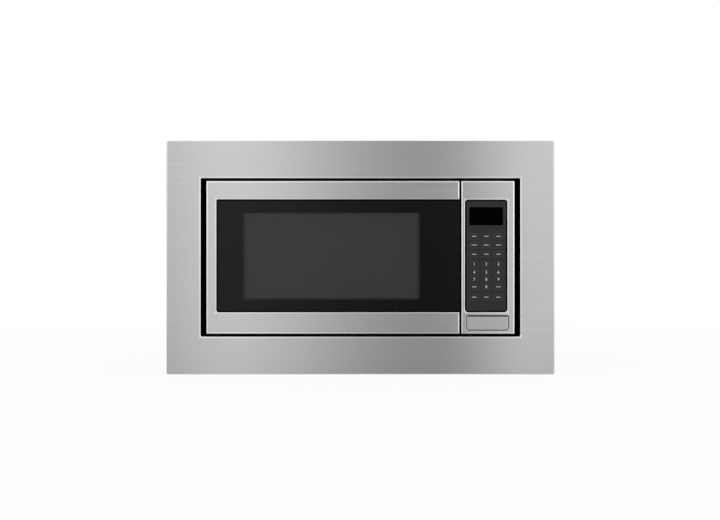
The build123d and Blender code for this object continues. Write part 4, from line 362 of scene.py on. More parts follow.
def slab(shape, outline, thickness):
    """Raises an outline in X and Z towards the viewer, which is along -Y."""
    bottom = shape.faces.new([shape.verts.new((x, 0.0, z)) for x, z in outline])
    lifted = bmesh.ops.extrude_face_region(shape, geom=[bottom])["geom"]
    raised = [part for part in lifted if isinstance(part, bmesh.types.BMVert)]
    bmesh.ops.translate(shape, vec=(0.0, -thickness, 0.0), verts=raised)


repeat, (points, shape, turn, paint) = new_tree(
    "repeat_on_points", ("Shape", "Object"), ("Turn", "Vector"), ("Material", "Material")
)
model = shape.node("GeometryNodeObjectInfo", {"Object": shape}, "Geometry")
values = {"Points": points, "Instance": model, "Rotation": turn}
end_tree(repeat, points.node("GeometryNodeInstanceOnPoints", values), paint)

CROSS_ARM, CROSS_HALF, CROSS_THICKNESS = 0.0019, 0.00045, 0.00008
arm = [(CROSS_HALF, CROSS_HALF), (CROSS_ARM, CROSS_HALF), (CROSS_ARM, -CROSS_HALF)]
cross_outline = []
for _ in range(4):
    cross_outline += arm
    arm = [(z, -x) for x, z in arm]
cross = shape_of("screw_cross", lambda shape: slab(shape, cross_outline, CROSS_THICKNESS))

MERGE, FINE_MERGE = 1e-6, 1e-7
ON_FACE = 1e-5
HEAD_SPREAD = 0.012


def head_middles():
    """Middle of each screw head's face, for the left, right and rear screws in turn."""
    low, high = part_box("cabinet_screws")
    heads = bmesh.new()
    heads.from_mesh(nodes["cabinet_screws"].data)
    bmesh.ops.remove_doubles(heads, verts=heads.verts, dist=MERGE)
    found = []
    for axis, edge in ((0, low.x), (0, high.x), (1, high.y)):
        groups = []
        for corner in [v.co.copy() for v in heads.verts if abs(v.co[axis] - edge) < ON_FACE]:
            near = [group for group in groups if (group[0] - corner).length < HEAD_SPREAD]
            if near:
                near[0].append(corner)
            else:
                groups.append([corner])
        found.append([sum(group, Vector()) / len(group) for group in groups])
    heads.free()
    return found


left_heads, right_heads, rear_heads = head_middles()
head_rows = ("left", left_heads, -1), ("right", right_heads, 1), ("rear", rear_heads, 2)
for name, heads, quarter_turns in head_rows:
    grown(
        "screw_recesses_" + name, repeat, heads, "oven_body", "screw_steel",
        shape=cross, turn=(0.0, 0.0, quarter_turns * math.pi / 2), material=recess_dark,
    )

# Front plate: pressed sheet steel round the cavity's mouth, painted black. The door's choke closes
# on it, and it carries the hinge arms and the latch's box.
plate_black = coat(
    "plate_black", (0.003, 0.003, 0.003), (0.008, 0.008, 0.008),
    grain=0.0012, depth=0.00003, roughness=0.5, specular_ior_level=0.1,
)
dress(plate_black, "front_plate")

# Cavity: walls, floor and back of sheet steel, enamelled pale grey with fine dark and light flecks.
# One folded sheet makes the two walls and the roof, and the floor and back are welded to it.
FLECK, ENAMEL_CAST, GLAZE = 0.0011, 0.09, 0.02
ENAMEL_WAVE, ENAMEL_WAVE_DEPTH = 0.006, 0.00006
enamel, spot = new_finish("cavity_enamel", ior=1.5)
flecks = spot.noise(FLECK, 1.0)
dark_flecks = flecks.ease(0.66, 0.72)
pale_flecks = (1.0 - flecks).ease(0.68, 0.74)
ground = spot.noise(ENAMEL_CAST).tint((0.5, 0.51, 0.515), (0.57, 0.575, 0.575))
flecked = dark_flecks.tint(ground, (0.17, 0.175, 0.18))
lay(enamel, "Base Color", pale_flecks.tint(flecked, (0.78, 0.78, 0.77)))
lay(enamel, "Roughness", 0.24 + 0.12 * spot.noise(GLAZE))
emboss(enamel, spot.noise(ENAMEL_WAVE), ENAMEL_WAVE_DEPTH)
dress(enamel, "cavity_wrap", "cavity_floor", "cavity_back")

# Waveguide cover: a sheet of pressed mica that clips over the port in the right-hand wall. It lets
# the microwaves through and keeps grease out.
FLAKES_PER_METRE, MICA_RELIEF = 420.0, 0.00004
VEINS_PER_METRE = (60.0, 25.0, 110.0)
mica, spot = new_finish("mica_sheet")
flakes = spot.node("ShaderNodeTexVoronoi", {"Vector": spot, "Scale": FLAKES_PER_METRE}, "Color").axis("X")
veins = spot.stretch(VEINS_PER_METRE).noise(detail=4.0)
lay(mica, "Base Color", (0.5 * flakes + 0.5 * veins).tint((0.3, 0.27, 0.22), (0.62, 0.58, 0.5)))
lay(mica, "Roughness", 0.28 + 0.3 * flakes)
emboss(mica, flakes, MICA_RELIEF)
dress(mica, "waveguide_cover")

# Waveguide, magnetron yoke and capacitor strap: pressed zinc-plated sheet. The waveguide is welded
# to the cavity's side and carries the yoke, and the strap is screwed to the base.
dress(zinc, "waveguide", "magnetron_yoke", "capacitor_clamp")

# Magnetron: a tube with a dark sintered ferrite magnet at each end, held in the yoke. Thin fins of
# rolled aluminium are pressed on the tube and carry its heat away.
ROLLING_PER_METRE, ROLLING_DEPTH = (30.0, 30.0, 900.0), 0.00001
fins, spot = new_finish("fin_aluminium", metallic=1.0)
rolled = spot.stretch(ROLLING_PER_METRE).noise()
lay(fins, "Base Color", rolled.tint((0.6, 0.61, 0.62), (0.78, 0.785, 0.79)))
lay(fins, "Roughness", 0.26 + 0.16 * rolled)
emboss(fins, rolled, ROLLING_DEPTH)
dress(fins, "magnetron_fins")
ferrite = coat(
    "ferrite_dark", (0.016, 0.016, 0.017), (0.05, 0.05, 0.05),
    grain=0.0008, depth=0.00005, roughness=0.6, metallic=0.3,
)
dress(ferrite, "magnetron_tube")

# Transformer: a stack of iron laminations, welded along its sides, with two varnished copper coils.
# It stands on the base. The fan's motor has a stack of the same iron.
LAMINATIONS_PER_METRE, LAMINATION_DEPTH = 2000.0, 0.00012
TURNS_PER_METRE, TURN_DEPTH = 900.0, 0.0003
RUST, VARNISH = 0.012, 0.008
iron, spot = new_finish("laminated_iron", metallic=0.85)
laminations = (spot.axis("X") * LAMINATIONS_PER_METRE).math("FRACT")
rust = spot.noise(RUST, 4.0)
lay(iron, "Base Color", (0.65 * rust + 0.35 * laminations).tint((0.075, 0.07, 0.066), (0.24, 0.225, 0.21)))
lay(iron, "Roughness", 0.45 + 0.25 * rust)
emboss(iron, (laminations - 0.5).size(), LAMINATION_DEPTH)
dress(iron, "transformer_core", "fan_motor")
copper, spot = new_finish("varnished_copper", metallic=0.9, coat_weight=0.6)
turns = (spot.axis("Z") * TURNS_PER_METRE).math("FRACT")
varnish = spot.noise(VARNISH)
lay(copper, "Base Color", varnish.tint((0.3, 0.1, 0.035), (0.56, 0.24, 0.1)))
lay(copper, "Roughness", 0.25 + 0.2 * varnish)
emboss(copper, (turns - 0.5).size(), TURN_DEPTH)
dress(copper, "transformer_windings")

# Capacitor: a drawn aluminium can that lies on its side on the base, held down by the strap. The
# drawing leaves fine lines along it.
DRAWING_PER_METRE, DRAWING_DEPTH = (700.0, 12.0, 700.0), 0.00001
can, spot = new_finish("drawn_can", metallic=1.0)
drawn = spot.stretch(DRAWING_PER_METRE).noise()
lay(can, "Base Color", drawn.tint((0.5, 0.51, 0.52), (0.68, 0.685, 0.69)))
lay(can, "Roughness", 0.2 + 0.16 * drawn)
emboss(can, drawn, DRAWING_DEPTH)
dress(can, "capacitor")

# Mouldings in the works: black for the switches, diode, cut-outs and cord bush, white for the
# latch's box. The lamp's box and the turntable's motor have plated steel cases.
BLACK_PLASTIC = (0.006, 0.006, 0.0065), (0.017, 0.017, 0.018)
black_plastic = coat("black_plastic", *BLACK_PLASTIC, grain=0.0007, depth=0.00004, roughness=0.48)
white_plastic = coat(
    "white_plastic", (0.7, 0.7, 0.68), (0.8, 0.8, 0.785), grain=0.0009, depth=0.00003, roughness=0.42
)
dress(black_plastic, "hv_diode", "interlock_switches", "cord_gland", "thermal_cutouts")
dress(white_plastic, "latch_body")
dress(zinc, "lamp_holder", "turntable_motor")

# Lamp: a small bulb of blown glass, frosted inside, in its box on the cavity's side. It lights the
# cavity through a hole in the wall.
FROST, FROST_DEPTH = 0.0008, 0.00002
bulb, spot = new_finish("frosted_bulb", transmission_weight=0.75, ior=1.45)
frost = spot.noise(FROST, 3.0)
lay(bulb, "Base Color", frost.tint((0.86, 0.85, 0.81), (0.96, 0.955, 0.93)))
lay(bulb, "Roughness", 0.25 + 0.25 * frost)
emboss(bulb, frost, FROST_DEPTH)
dress(bulb, "lamp_bulb")

# Fan: a blade and a shroud, both moulded in grey plastic. The blade is pressed on the motor's plated
# steel shaft, and the turntable's shaft is of the same steel.
fan_plastic = coat(
    "fan_plastic", (0.3, 0.31, 0.32), (0.42, 0.43, 0.44), grain=0.0011, depth=0.00004, roughness=0.46
)
dress(fan_plastic, "fan_blade", "fan_shroud")
dress(plated, "fan_shaft", "turntable_shaft")

# Filter and control boards: green laminate with printed copper tracks, and dark parts soldered to
# it. The filter's board stands on posts on the base, and the control board is behind the panel.
TRACKS_PER_METRE, TRACK_DEPTH, LACQUER = 90.0, 0.00005, 0.002
CONTROL_LAMINATE, FILTER_LAMINATE = 0.0017, 0.0098
board, spot = new_finish("circuit_board")
grid = spot.node("ShaderNodeTexBrick", {"Vector": spot, "Scale": TRACKS_PER_METRE}, "Fac")
control_low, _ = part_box("control_board")
filter_low, filter_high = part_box("noise_filter")
between_x = (filter_high.x + control_low.x) / 2.0
control_parts = (spot.axis("Y") > control_low.y + CONTROL_LAMINATE) * (spot.axis("X") > between_x)
filter_parts = (spot.axis("Z") > filter_low.z + FILTER_LAMINATE) * (spot.axis("X") < between_x)
tracks = grid.tint((0.025, 0.13, 0.05), (0.07, 0.24, 0.09))
lay(board, "Base Color", control_parts.most(filter_parts).tint(tracks, (0.02, 0.02, 0.022)))
lay(board, "Roughness", 0.34 + 0.2 * spot.noise(LACQUER))
emboss(board, grid, TRACK_DEPTH)
dress(board, "control_board", "noise_filter")

# Turntable: a pressed glass tray on a ring of natural acetal, which rolls on three wheels. A
# three-armed coupler on the motor's shaft turns the tray.
RIPPLE, RIPPLE_DEPTH = 0.03, 0.00008
tray_glass, spot = new_finish("tray_glass", transmission_weight=1.0, ior=1.5)
ripple = spot.noise(RIPPLE)
lay(tray_glass, "Base Color", ripple.tint((0.93, 0.96, 0.95), (0.97, 0.985, 0.98)))
lay(tray_glass, "Roughness", 0.015 + 0.03 * ripple)
emboss(tray_glass, ripple, RIPPLE_DEPTH)
dress(tray_glass, "glass_tray")
acetal = coat(
    "natural_acetal", (0.66, 0.65, 0.61), (0.77, 0.76, 0.72), grain=0.0012, depth=0.00002, roughness=0.38
)
dress(acetal, "roller_ring", "roller_wheel_1", "roller_wheel_2", "roller_wheel_3", "turntable_coupler")

# Hinges: steel arms, painted black, on the front plate above and below the door. Their pins turn in
# bushes of sintered bronze, pressed into the door's frame.
PORE, PORE_DEPTH = 0.0004, 0.00004
dress(plate_black, "hinge_arms")
bronze, spot = new_finish("sintered_bronze", metallic=1.0)
pores = spot.noise(PORE, 3.0)
lay(bronze, "Base Color", pores.tint((0.26, 0.17, 0.085), (0.5, 0.35, 0.19)))
lay(bronze, "Roughness", 0.35 + 0.25 * pores)
emboss(bronze, pores, PORE_DEPTH)
dress(bronze, "hinge_bushes")

# Door: a brushed steel face folded round a moulded black frame, with a black cover over the choke.
# The hooks that slide in it, their lever and the switches' plungers are moulded in acetal.
door_black = coat(
    "door_black", *BLACK_PLASTIC, grain=0.0007, depth=0.00004, roughness=0.52, specular_ior_level=0.15
)
dress(steel, "door_skin")
dress(black_plastic, "door_choke_cover")
dress(door_black, "door_carrier")
dress(acetal, "latch_hooks", "release_lever", "switch_plungers")

# Door glass: dark float glass, printed black on its back round a smoky dotted window. The print
# thins out over a few millimetres, and the glass has a matt ground edge.
LEFT_REACH, RIGHT_REACH, LOWER_REACH, UPPER_REACH = 0.1685, 0.1699, 0.0835, 0.082
PRINT_FADE, TOP_FADE = 0.0045, 0.003
GROUND_EDGE, GROUND_FADE = 0.0008, 0.0018
HAZE, GLOSS = 0.12, 0.42
film_low, film_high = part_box("door_inner_film")
WINDOW_X, _, WINDOW_Z = (film_low + film_high) / 2.0
glass_low, glass_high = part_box("door_glass")
glass, spot = new_finish("door_glass", ior=1.5, specular_ior_level=0.02)
past_left = WINDOW_X - LEFT_REACH - spot.axis("X")
past_right = spot.axis("X") - (WINDOW_X + RIGHT_REACH)
past_foot = WINDOW_Z - LOWER_REACH - spot.axis("Z")
past_head = spot.axis("Z") - (WINDOW_Z + UPPER_REACH)
printed = past_left.most(past_right).most(past_foot).ease(-PRINT_FADE, PRINT_FADE)
printed = printed.most(past_head.ease(-TOP_FADE, TOP_FADE))
from_ends = (spot.axis("Z") - glass_low.z).least(glass_high.z - spot.axis("Z"))
from_edge = from_ends.least(spot.axis("X") - glass_low.x)
haze = spot.noise(HAZE)
dots = haze.tint((0.052, 0.054, 0.054), (0.058, 0.06, 0.06))
lay(glass, "Base Color", printed.tint(dots, (0.0012, 0.0012, 0.0013)))
lay(glass, "Roughness", 0.03 + 0.03 * haze)
lay(glass, "Coat Weight", GLOSS * from_edge.ease(GROUND_EDGE, GROUND_EDGE + GROUND_FADE))
lay(glass, "Alpha", 0.5 + 0.5 * printed)
dress(glass, "door_glass")

# Screen: a pressed steel pan, painted dark grey, with rows of small holes across the window. The
# folded channel round it is the choke.
screen_paint = coat(
    "screen_paint", (0.11, 0.113, 0.114), (0.14, 0.143, 0.144), grain=0.0009, depth=0.00002, roughness=0.5
)
HOLE_PITCH, HOLE_RADIUS = 0.0036, 0.00135
ROW_STEP = HOLE_PITCH * math.sqrt(3.0) / 2.0
SHEET, FILM_GAP = 0.0006, 0.0001
FIELD_COLUMNS, FIELD_ROWS = 97, 55


def join_rings(shape, rings):
    """Faces between each closed ring of corners and the next."""
    for first, second in zip(rings, rings[1:]):
        for k in range(len(first)):
            after = (k + 1) % len(first)
            shape.faces.new((first[k], second[k], second[after], first[after]))


def hole_cell(shape):
    """One hexagon of the sheet with a hexagonal hole through it."""
    corners = [math.radians(60.0 * k + 30.0) for k in range(6)]
    outer = HOLE_PITCH / math.sqrt(3.0)
    rings = []
    for radius, depth in ((outer, 0.0), (HOLE_RADIUS, 0.0), (HOLE_RADIUS, SHEET), (outer, SHEET)):
        places = [(radius * math.cos(a), depth, radius * math.sin(a)) for a in corners]
        rings.append([shape.verts.new(place) for place in places])
    join_rings(shape, rings)


cell = shape_of("screen_cell", hole_cell)
perforate, (_, shape, pitch, row_step, columns, rows, middle, paint) = new_tree(
    "perforated_sheet", ("Cell", "Object"), ("Pitch", "Float"), ("Row step", "Float"),
    ("Columns", "Int"), ("Rows", "Int"), ("Middle", "Vector"), ("Material", "Material"),
)
field = {0: (columns - 1.0) * pitch, 1: (rows - 1.0) * row_step, 2: columns, 3: rows}
lattice = pitch.node("GeometryNodeMeshGrid", field)
at = pitch.node("GeometryNodeInputPosition", {})
row = pitch.node("GeometryNodeInputIndex", {}).math("MODULO", rows)
shift = pitch * (0.5 * row.math("MODULO", 2.0) - 0.25)
upright = pitch.node("ShaderNodeCombineXYZ", {0: at.axis("X") + shift, 2: at.axis("Y")})
upright = upright.node("ShaderNodeVectorMath", {0: upright, 1: middle}, operation="ADD")
lattice = lattice.node("GeometryNodeSetPosition", {"Geometry": lattice, "Position": upright})
model = shape.node("GeometryNodeObjectInfo", {"Object": shape}, "Geometry")
copies = lattice.node("GeometryNodeInstanceOnPoints", {"Points": lattice, "Instance": model})
end_tree(perforate, copies, paint)

holes = grown(
    "door_screen_holes", perforate, [], "door", "screen_black", cell=cell, pitch=HOLE_PITCH,
    **{"row step": ROW_STEP}, columns=FIELD_COLUMNS, rows=FIELD_ROWS,
    middle=(WINDOW_X, film_low.y - SHEET - FILM_GAP, WINDOW_Z), material=screen_paint,
)


def close_rim(shape):
    """Joins the open borders of a sheet's front and back by a wall, and faces it all outwards."""
    rim = [edge for edge in shape.edges if edge.is_boundary]
    bmesh.ops.bridge_loops(shape, edges=rim)
    bmesh.ops.recalc_face_normals(shape, faces=shape.faces)


welded = bmesh.new()
welded.from_mesh(holes.data)
bmesh.ops.remove_doubles(welded, verts=welded.verts, dist=MERGE)
close_rim(welded)
welded.to_mesh(holes.data)
welded.free()


def pan_with_opening(half_width, half_height):
    """The pressed pan with a rectangle cut through its flat sheet, where the holes are."""
    pan = bmesh.new()
    pan.from_mesh(nodes["door_screen_panel"].data)
    bmesh.ops.remove_doubles(pan, verts=pan.verts, dist=MERGE)
    for axis, offset in ((0, WINDOW_X - half_width), (0, WINDOW_X + half_width),
                         (2, WINDOW_Z - half_height), (2, WINDOW_Z + half_height)):
        place, way = Vector(), Vector()
        place[axis], way[axis] = offset, 1.0
        every = [*pan.verts, *pan.edges, *pan.faces]
        bmesh.ops.bisect_plane(pan, geom=every, dist=FINE_MERGE, plane_co=place, plane_no=way)
    inside = []
    for face in pan.faces:
        middle = face.calc_center_median()
        if abs(middle.x - WINDOW_X) < half_width and abs(middle.z - WINDOW_Z) < half_height:
            inside.append(face)
    bmesh.ops.delete(pan, geom=inside, context="FACES")
    close_rim(pan)
    mesh = bpy.data.meshes.new("door_screen")
    pan.to_mesh(mesh)
    pan.free()
    mesh.materials.clear()
    mesh.materials.append(screen_paint)
    return mesh


field_half_width = (FIELD_COLUMNS - 1.5) * HOLE_PITCH / 2.0
field_half_height = (FIELD_ROWS - 1) * ROW_STEP / 2.0
screen = placed(
    "door_screen", pan_with_opening(field_half_width, field_half_height), "door"
)
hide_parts("door_screen_panel")

# Inner film: a clear plastic sheet on the cavity's side of the screen, bonded to the pan round its
# edge. It keeps steam out of the holes.
SMEAR, SMEAR_DEPTH = 0.05, 0.00005
film, spot = new_finish("clear_film", alpha=0.22, ior=1.5)
smear = spot.noise(SMEAR)
lay(film, "Base Color", smear.tint((0.05, 0.05, 0.052), (0.09, 0.09, 0.09)))
lay(film, "Roughness", 0.06 + 0.1 * smear)
emboss(film, smear, SMEAR_DEPTH)
dress(film, "door_inner_film")

# Control panel: a second brushed steel face on a moulded black box, beside the door. The display's
# module, behind its window, is in black plastic too.
dress(steel, "control_panel_skin")
dress(black_plastic, "control_panel_carrier", "display_module")

# Keypad: a graphite polyester film, printed with a darker border and a thin line inside it. It is
# glued to the panel over domed contacts.
WEAVE, WEAVE_DEPTH, FILM_CAST = 0.0006, 0.00001, 0.05
BORDER_FADE = 0.0024, 0.0034
LINE_START, LINE_END = (0.003, 0.0035), (0.0038, 0.0046)
pad_low, pad_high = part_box("keypad_membrane")
keypad, spot = new_finish("keypad_film", specular_ior_level=0.05)
across = (spot.axis("X") - pad_low.x).least(pad_high.x - spot.axis("X"))
along = (spot.axis("Z") - pad_low.z).least(pad_high.z - spot.axis("Z"))
inset = across.least(along)
weave = spot.noise(WEAVE, 3.0)
mottle = 0.6 * weave + 0.4 * spot.noise(FILM_CAST)
graphite = mottle.tint((0.028, 0.029, 0.03), (0.034, 0.0351, 0.036))
rim_line = inset.ease(*LINE_START) * (1.0 - inset.ease(*LINE_END))
lined = (0.5 * rim_line).tint(graphite, (0.06, 0.061, 0.062))
lay(keypad, "Base Color", inset.ease(*BORDER_FADE).tint((0.002, 0.0021, 0.0022), lined))
lay(keypad, "Roughness", 0.42 + 0.1 * weave)
emboss(keypad, weave, WEAVE_DEPTH)
dress(keypad, "keypad_membrane")

# Legends: pale ink, screen-printed on the film. Bars stand for the functions, with plain digits
# above their last row, and a thin grey line is printed round each key.
INK, INK_GRAIN, INK_RELIEF = 0.00005, 0.0007, 0.000004
BAR_HEIGHT, BAR_RADIUS, SIDE_BAR = 0.0017, 0.000765, 0.0084
PAD_SHIFT, KEY_PITCH, KEY_LINE = 0.0004, 0.0235, 0.00035
WIDE_KEY = {"half_width": 0.0092, "half_height": 0.0056, "radius": 0.0022}
ROUND_KEY = {"half_width": 0.0086, "half_height": 0.0056, "radius": 0.0054}
BAR_ROWS = ((0.2525, 0.0090), (0.2355, 0.0104), (0.2177, 0.0088), (0.1342, 0.0088))
DIGIT_ROWS = (0.1982, 0.1824, 0.1686, 0.1543)
pad_middle = (pad_low.x + pad_high.x) / 2.0 + PAD_SHIFT
KEY_X = (pad_middle - KEY_PITCH, pad_middle, pad_middle + KEY_PITCH)


def ink(name, dark, light):
    """Matt printing ink."""
    return coat(name, dark, light, grain=INK_GRAIN, depth=INK_RELIEF, roughness=0.5)


bar_ink = ink("bar_ink", (0.35, 0.355, 0.36), (0.43, 0.435, 0.44))
digit_ink = ink("digit_ink", (0.68, 0.685, 0.69), (0.79, 0.795, 0.8))
line_ink = ink("key_line_ink", (0.055, 0.056, 0.058), (0.075, 0.076, 0.078))


def rounded(half_width, half_height, radius, steps):
    """Outline of a rectangle with round corners, in X and Z."""
    outline = []
    for corner in range(4):
        for k in range(steps + 1):
            angle = math.pi / 2 * (corner + k / steps)
            across = math.cos(math.pi / 4 + corner * math.pi / 2)
            along = math.sin(math.pi / 4 + corner * math.pi / 2)
            x = math.copysign(half_width - radius, across) + radius * math.cos(angle)
            z = math.copysign(half_height - radius, along) + radius * math.sin(angle)
            outline.append((x, z))
    return outline


def key_line(shape, half_width, half_height, radius):
    """A raised line round a key."""
    outer = rounded(half_width, half_height, radius, 6)
    inner = rounded(half_width - KEY_LINE, half_height - KEY_LINE, radius - KEY_LINE, 6)
    rings = []
    for outline, depth in ((outer, 0.0), (outer, -INK), (inner, -INK), (inner, 0.0)):
        rings.append([shape.verts.new((x, depth, z)) for x, z in outline])
    join_rings(shape, [*rings, rings[0]])


def print_on_film(name, shape, rows, columns, material):
    """A shape printed on the keypad's film at these heights and places across."""
    places = [(x, pad_low.y, z) for z in rows for x in columns]
    grown(
        name, repeat, places, "oven_body", "keypad_film",
        shape=shape, turn=(0.0, 0.0, 0.0), material=material,
    )


def bar_shape(name, length):
    """A flat bar of this length with round ends."""
    outline = rounded(length / 2, BAR_HEIGHT / 2, BAR_RADIUS, 4)
    return shape_of(name, lambda shape: slab(shape, outline, INK))


for number, (z, length) in enumerate(BAR_ROWS, 1):
    print_on_film(f"function_bars_{number}", bar_shape(f"bar_{number}", length), [z], KEY_X, bar_ink)
beside_zero = KEY_X[0], KEY_X[2]
print_on_film("side_bars", bar_shape("side_bar", SIDE_BAR), DIGIT_ROWS[-1:], beside_zero, bar_ink)
wide_key = shape_of("wide_key", lambda shape: key_line(shape, **WIDE_KEY))
round_key = shape_of("round_key", lambda shape: key_line(shape, **ROUND_KEY))
print_on_film("key_lines_wide", wide_key, [z for z, _ in BAR_ROWS], KEY_X, line_ink)
print_on_film("key_lines_round", round_key, DIGIT_ROWS, KEY_X, line_ink)

DIGIT_HEIGHT, FONT_SIZE_PER_HEIGHT = 0.0056, 1.38
digit_mesh = bmesh.new()
digit_keys = [(str(3 * row + column + 1), row, column) for row in range(3) for column in range(3)]
for text, row, column in (*digit_keys, ("0", 3, 1)):
    letter = bpy.data.curves.new("digit_" + text, "FONT")
    letter.body = text
    letter.size = DIGIT_HEIGHT * FONT_SIZE_PER_HEIGHT
    letter.align_x = "CENTER"
    letter.align_y = "CENTER"
    letter.extrude = INK / 2
    mesh = plain_mesh(in_scene("digit_holder", letter))
    upright = Matrix.Rotation(math.pi / 2, 4, "X")
    place = Matrix.Translation((KEY_X[column], pad_low.y - INK / 2, DIGIT_ROWS[row]))
    mesh.transform(place @ upright)
    digit_mesh.from_mesh(mesh)
digits = bpy.data.meshes.new("keypad_digits")
bmesh.ops.remove_doubles(digit_mesh, verts=digit_mesh.verts, dist=FINE_MERGE)
digit_mesh.to_mesh(digits)
digit_mesh.free()
digits.materials.append(digit_ink)
placed("keypad_digits", digits, "oven_body")

# Display window: a lens of black acrylic, moulded with a soft non-reflecting finish and set in the
# keypad's film. The display behind it is unlit.
DUST = 0.004
lens, spot = new_finish("display_lens", specular_ior_level=0.01)
dust = spot.noise(DUST, 3.0)
lay(lens, "Base Color", dust.tint((0.0002, 0.0002, 0.0002), (0.0006, 0.0006, 0.0007)))
lay(lens, "Roughness", 0.12 + 0.1 * dust)
dress(lens, "display_window")

# Door button: black moulded plastic with its face sprayed silver, and a line of painted shade along
# its top edge. It slides in a tunnel in the panel and pushes the latch's lever.
FACE_DEPTH, FACE_FADE = 0.0008, 0.0008
TOP_SHADE_LINE, TOP_SHADE_FADE = 0.0008, 0.001
METAL_FLAKE, METAL_FLAKE_DEPTH, PAINT_CAST = 0.0005, 0.000008, 0.06
button_low, button_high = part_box("open_button")
silver, spot = new_finish("silver_paint")
face_end = button_low.y + FACE_DEPTH
on_face = 1.0 - spot.axis("Y").ease(face_end, face_end + FACE_FADE)
# Painted shade: the silver stops short of the top edge, leaving a dark line there.
from_top = button_high.z - spot.axis("Z")
sprayed = on_face * from_top.ease(TOP_SHADE_LINE, TOP_SHADE_LINE + TOP_SHADE_FADE)
flake = spot.noise(METAL_FLAKE)
mottle = 0.5 * flake + 0.5 * spot.noise(PAINT_CAST)
silver_tone = mottle.tint((0.5, 0.5, 0.495), (0.6, 0.6, 0.595))
lay(silver, "Base Color", sprayed.tint((0.008, 0.008, 0.0085), silver_tone))
lay(silver, "Metallic", 0.85 * sprayed)
lay(silver, "Roughness", 0.28 + 0.12 * flake)
emboss(silver, flake, METAL_FLAKE_DEPTH)
dress(silver, "open_button")

# Return spring: a coil of plated wire round the button's post, between the button and the wall at
# the back of its tunnel. The real one shortens as the button goes in; this one stays at its rest length.
SPRING_ROUNDS, WIRE_RADIUS = 5.0, 0.0008
STEPS_PER_ROUND, WIRE_SIDES = 24, 10
ALONG_Y = (-math.pi / 2, 0.0, 0.0)
coil, (_, rounds, radius, length, wire, start, paint) = new_tree(
    "coil_spring", ("Rounds", "Float"), ("Radius", "Float"), ("Length", "Float"), ("Wire", "Float"),
    ("Start", "Vector"), ("Material", "Material"),
)
values = {"Rotations": rounds, "Start Radius": radius, "End Radius": radius, "Height": length}
helix = rounds.node("GeometryNodeCurveSpiral", {"Resolution": STEPS_PER_ROUND, **values})
section = wire.node("GeometryNodeCurvePrimitiveCircle", {"Resolution": WIRE_SIDES, "Radius": wire})
values = {"Curve": helix, "Profile Curve": section, "Fill Caps": True}
wound = helix.node("GeometryNodeCurveToMesh", values)
values = {"Geometry": wound, "Translation": start, "Rotation": ALONG_Y}
end_tree(coil, wound.node("GeometryNodeTransform", values), paint)

spring_low, spring_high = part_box("button_spring")
spring_middle = (spring_low + spring_high) / 2.0
spring_length = spring_high.y - spring_low.y
joints = {joint["name"]: joint for joint in frame["record"]["behaviour"]["joints"]}
button_travel = joints["open_button"]["range_m"][1]
spring = grown(
    "return_spring", coil, [], "oven_body", "screw_steel", rounds=SPRING_ROUNDS, wire=WIRE_RADIUS,
    radius=(spring_high.x - spring_low.x) / 2.0 - WIRE_RADIUS, length=spring_length - 2.0 * WIRE_RADIUS,
    start=(spring_middle.x, spring_low.y + WIRE_RADIUS, spring_middle.z), material=plated,
)
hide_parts("button_spring")
1.0 - button_travel / spring_length
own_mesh(spring)

# Camera: square to the trim's face and a little below its middle. The lens takes in the picture's
# width at that face.
CAMERA_X, CAMERA_Z, CAMERA_DISTANCE = -0.0009, 0.2064, 2.4
PICTURE_WIDTH = 1.4012
SENSOR_WIDTH = 36.0
camera_data = bpy.data.cameras.new("camera")
camera_data.sensor_width = SENSOR_WIDTH
camera_data.lens = SENSOR_WIDTH * CAMERA_DISTANCE / PICTURE_WIDTH
camera = in_scene("camera", camera_data)
camera.location = (CAMERA_X, trim_low.y - CAMERA_DISTANCE, CAMERA_Z)
camera.rotation_euler = (math.pi / 2, 0.0, 0.0)
bpy.context.scene.camera = camera
bpy.context.scene.view_settings.view_transform = "Standard"

# Stage: a white paper floor in a white room, with three large soft lamps, two in front and one
# above. Rays that show the background meet plain white, and the floor keeps the oven's shadow.
WHITE = (1.0, 1.0, 1.0, 1.0)
FLOOR_DROP, FLOOR_REACH, PAPER_CLOUD = 0.0005, 7.0, 0.4
floor_z = cad_box[0][2] - FLOOR_DROP
SHADOW_SHARE, SHADOW_NEAR, SHADOW_FAR = 0.08, 0.6, 2.6
ROOM_LIGHT = 0.55
OVEN_MIDDLE = Vector((0.0, 0.1, 0.2))


def sheet(name, material, outline, half_width):
    """A wide sheet that follows an outline in Y and Z, and isn't part of the object."""
    corners = [(side * half_width, y, z) for y, z in outline for side in (-1, 1)]
    faces = [(2 * k, 2 * k + 1, 2 * k + 3, 2 * k + 2) for k in range(len(outline) - 1)]
    mesh = bpy.data.meshes.new(name)
    mesh.from_pydata(corners, [], faces)
    mesh.materials.append(material)
    piece = in_scene(name, mesh)
    return piece


def seen_ray(tree):
    """1 for rays that show the background: from the camera, a reflection or through glass."""
    path = tree.nodes.new("ShaderNodeLightPath")
    kinds = ("Is Camera Ray", "Is Glossy Ray", "Is Transmission Ray")
    direct, mirrored, through = [Wire(tree, path.outputs[kind]) for kind in kinds]
    return direct.most(mirrored).most(through)


paper, spot = new_finish("floor_paper", roughness=0.9, specular_ior_level=0.1)
lay(paper, "Base Color", spot.noise(PAPER_CLOUD).tint((0.88, 0.88, 0.88), (0.9, 0.9, 0.9)))
tree = paper.node_tree
white = spot.node("ShaderNodeEmission", {"Color": WHITE, "Strength": 1.0})
matt = Wire(tree, tree.nodes["Principled BSDF"].outputs[0])
from_oven = spot.node("ShaderNodeVectorMath", {0: spot}, 1, operation="LENGTH")
whiteness = 1.0 - SHADOW_SHARE + SHADOW_SHARE * from_oven.ease(SHADOW_NEAR, SHADOW_FAR)
mixed = spot.node("ShaderNodeMixShader", {0: whiteness * seen_ray(tree), 1: matt, 2: white})
tree.links.new(mixed.socket, tree.nodes["Material Output"].inputs["Surface"])
sheet("floor", paper, [(-FLOOR_REACH, floor_z), (FLOOR_REACH, floor_z)], FLOOR_REACH)

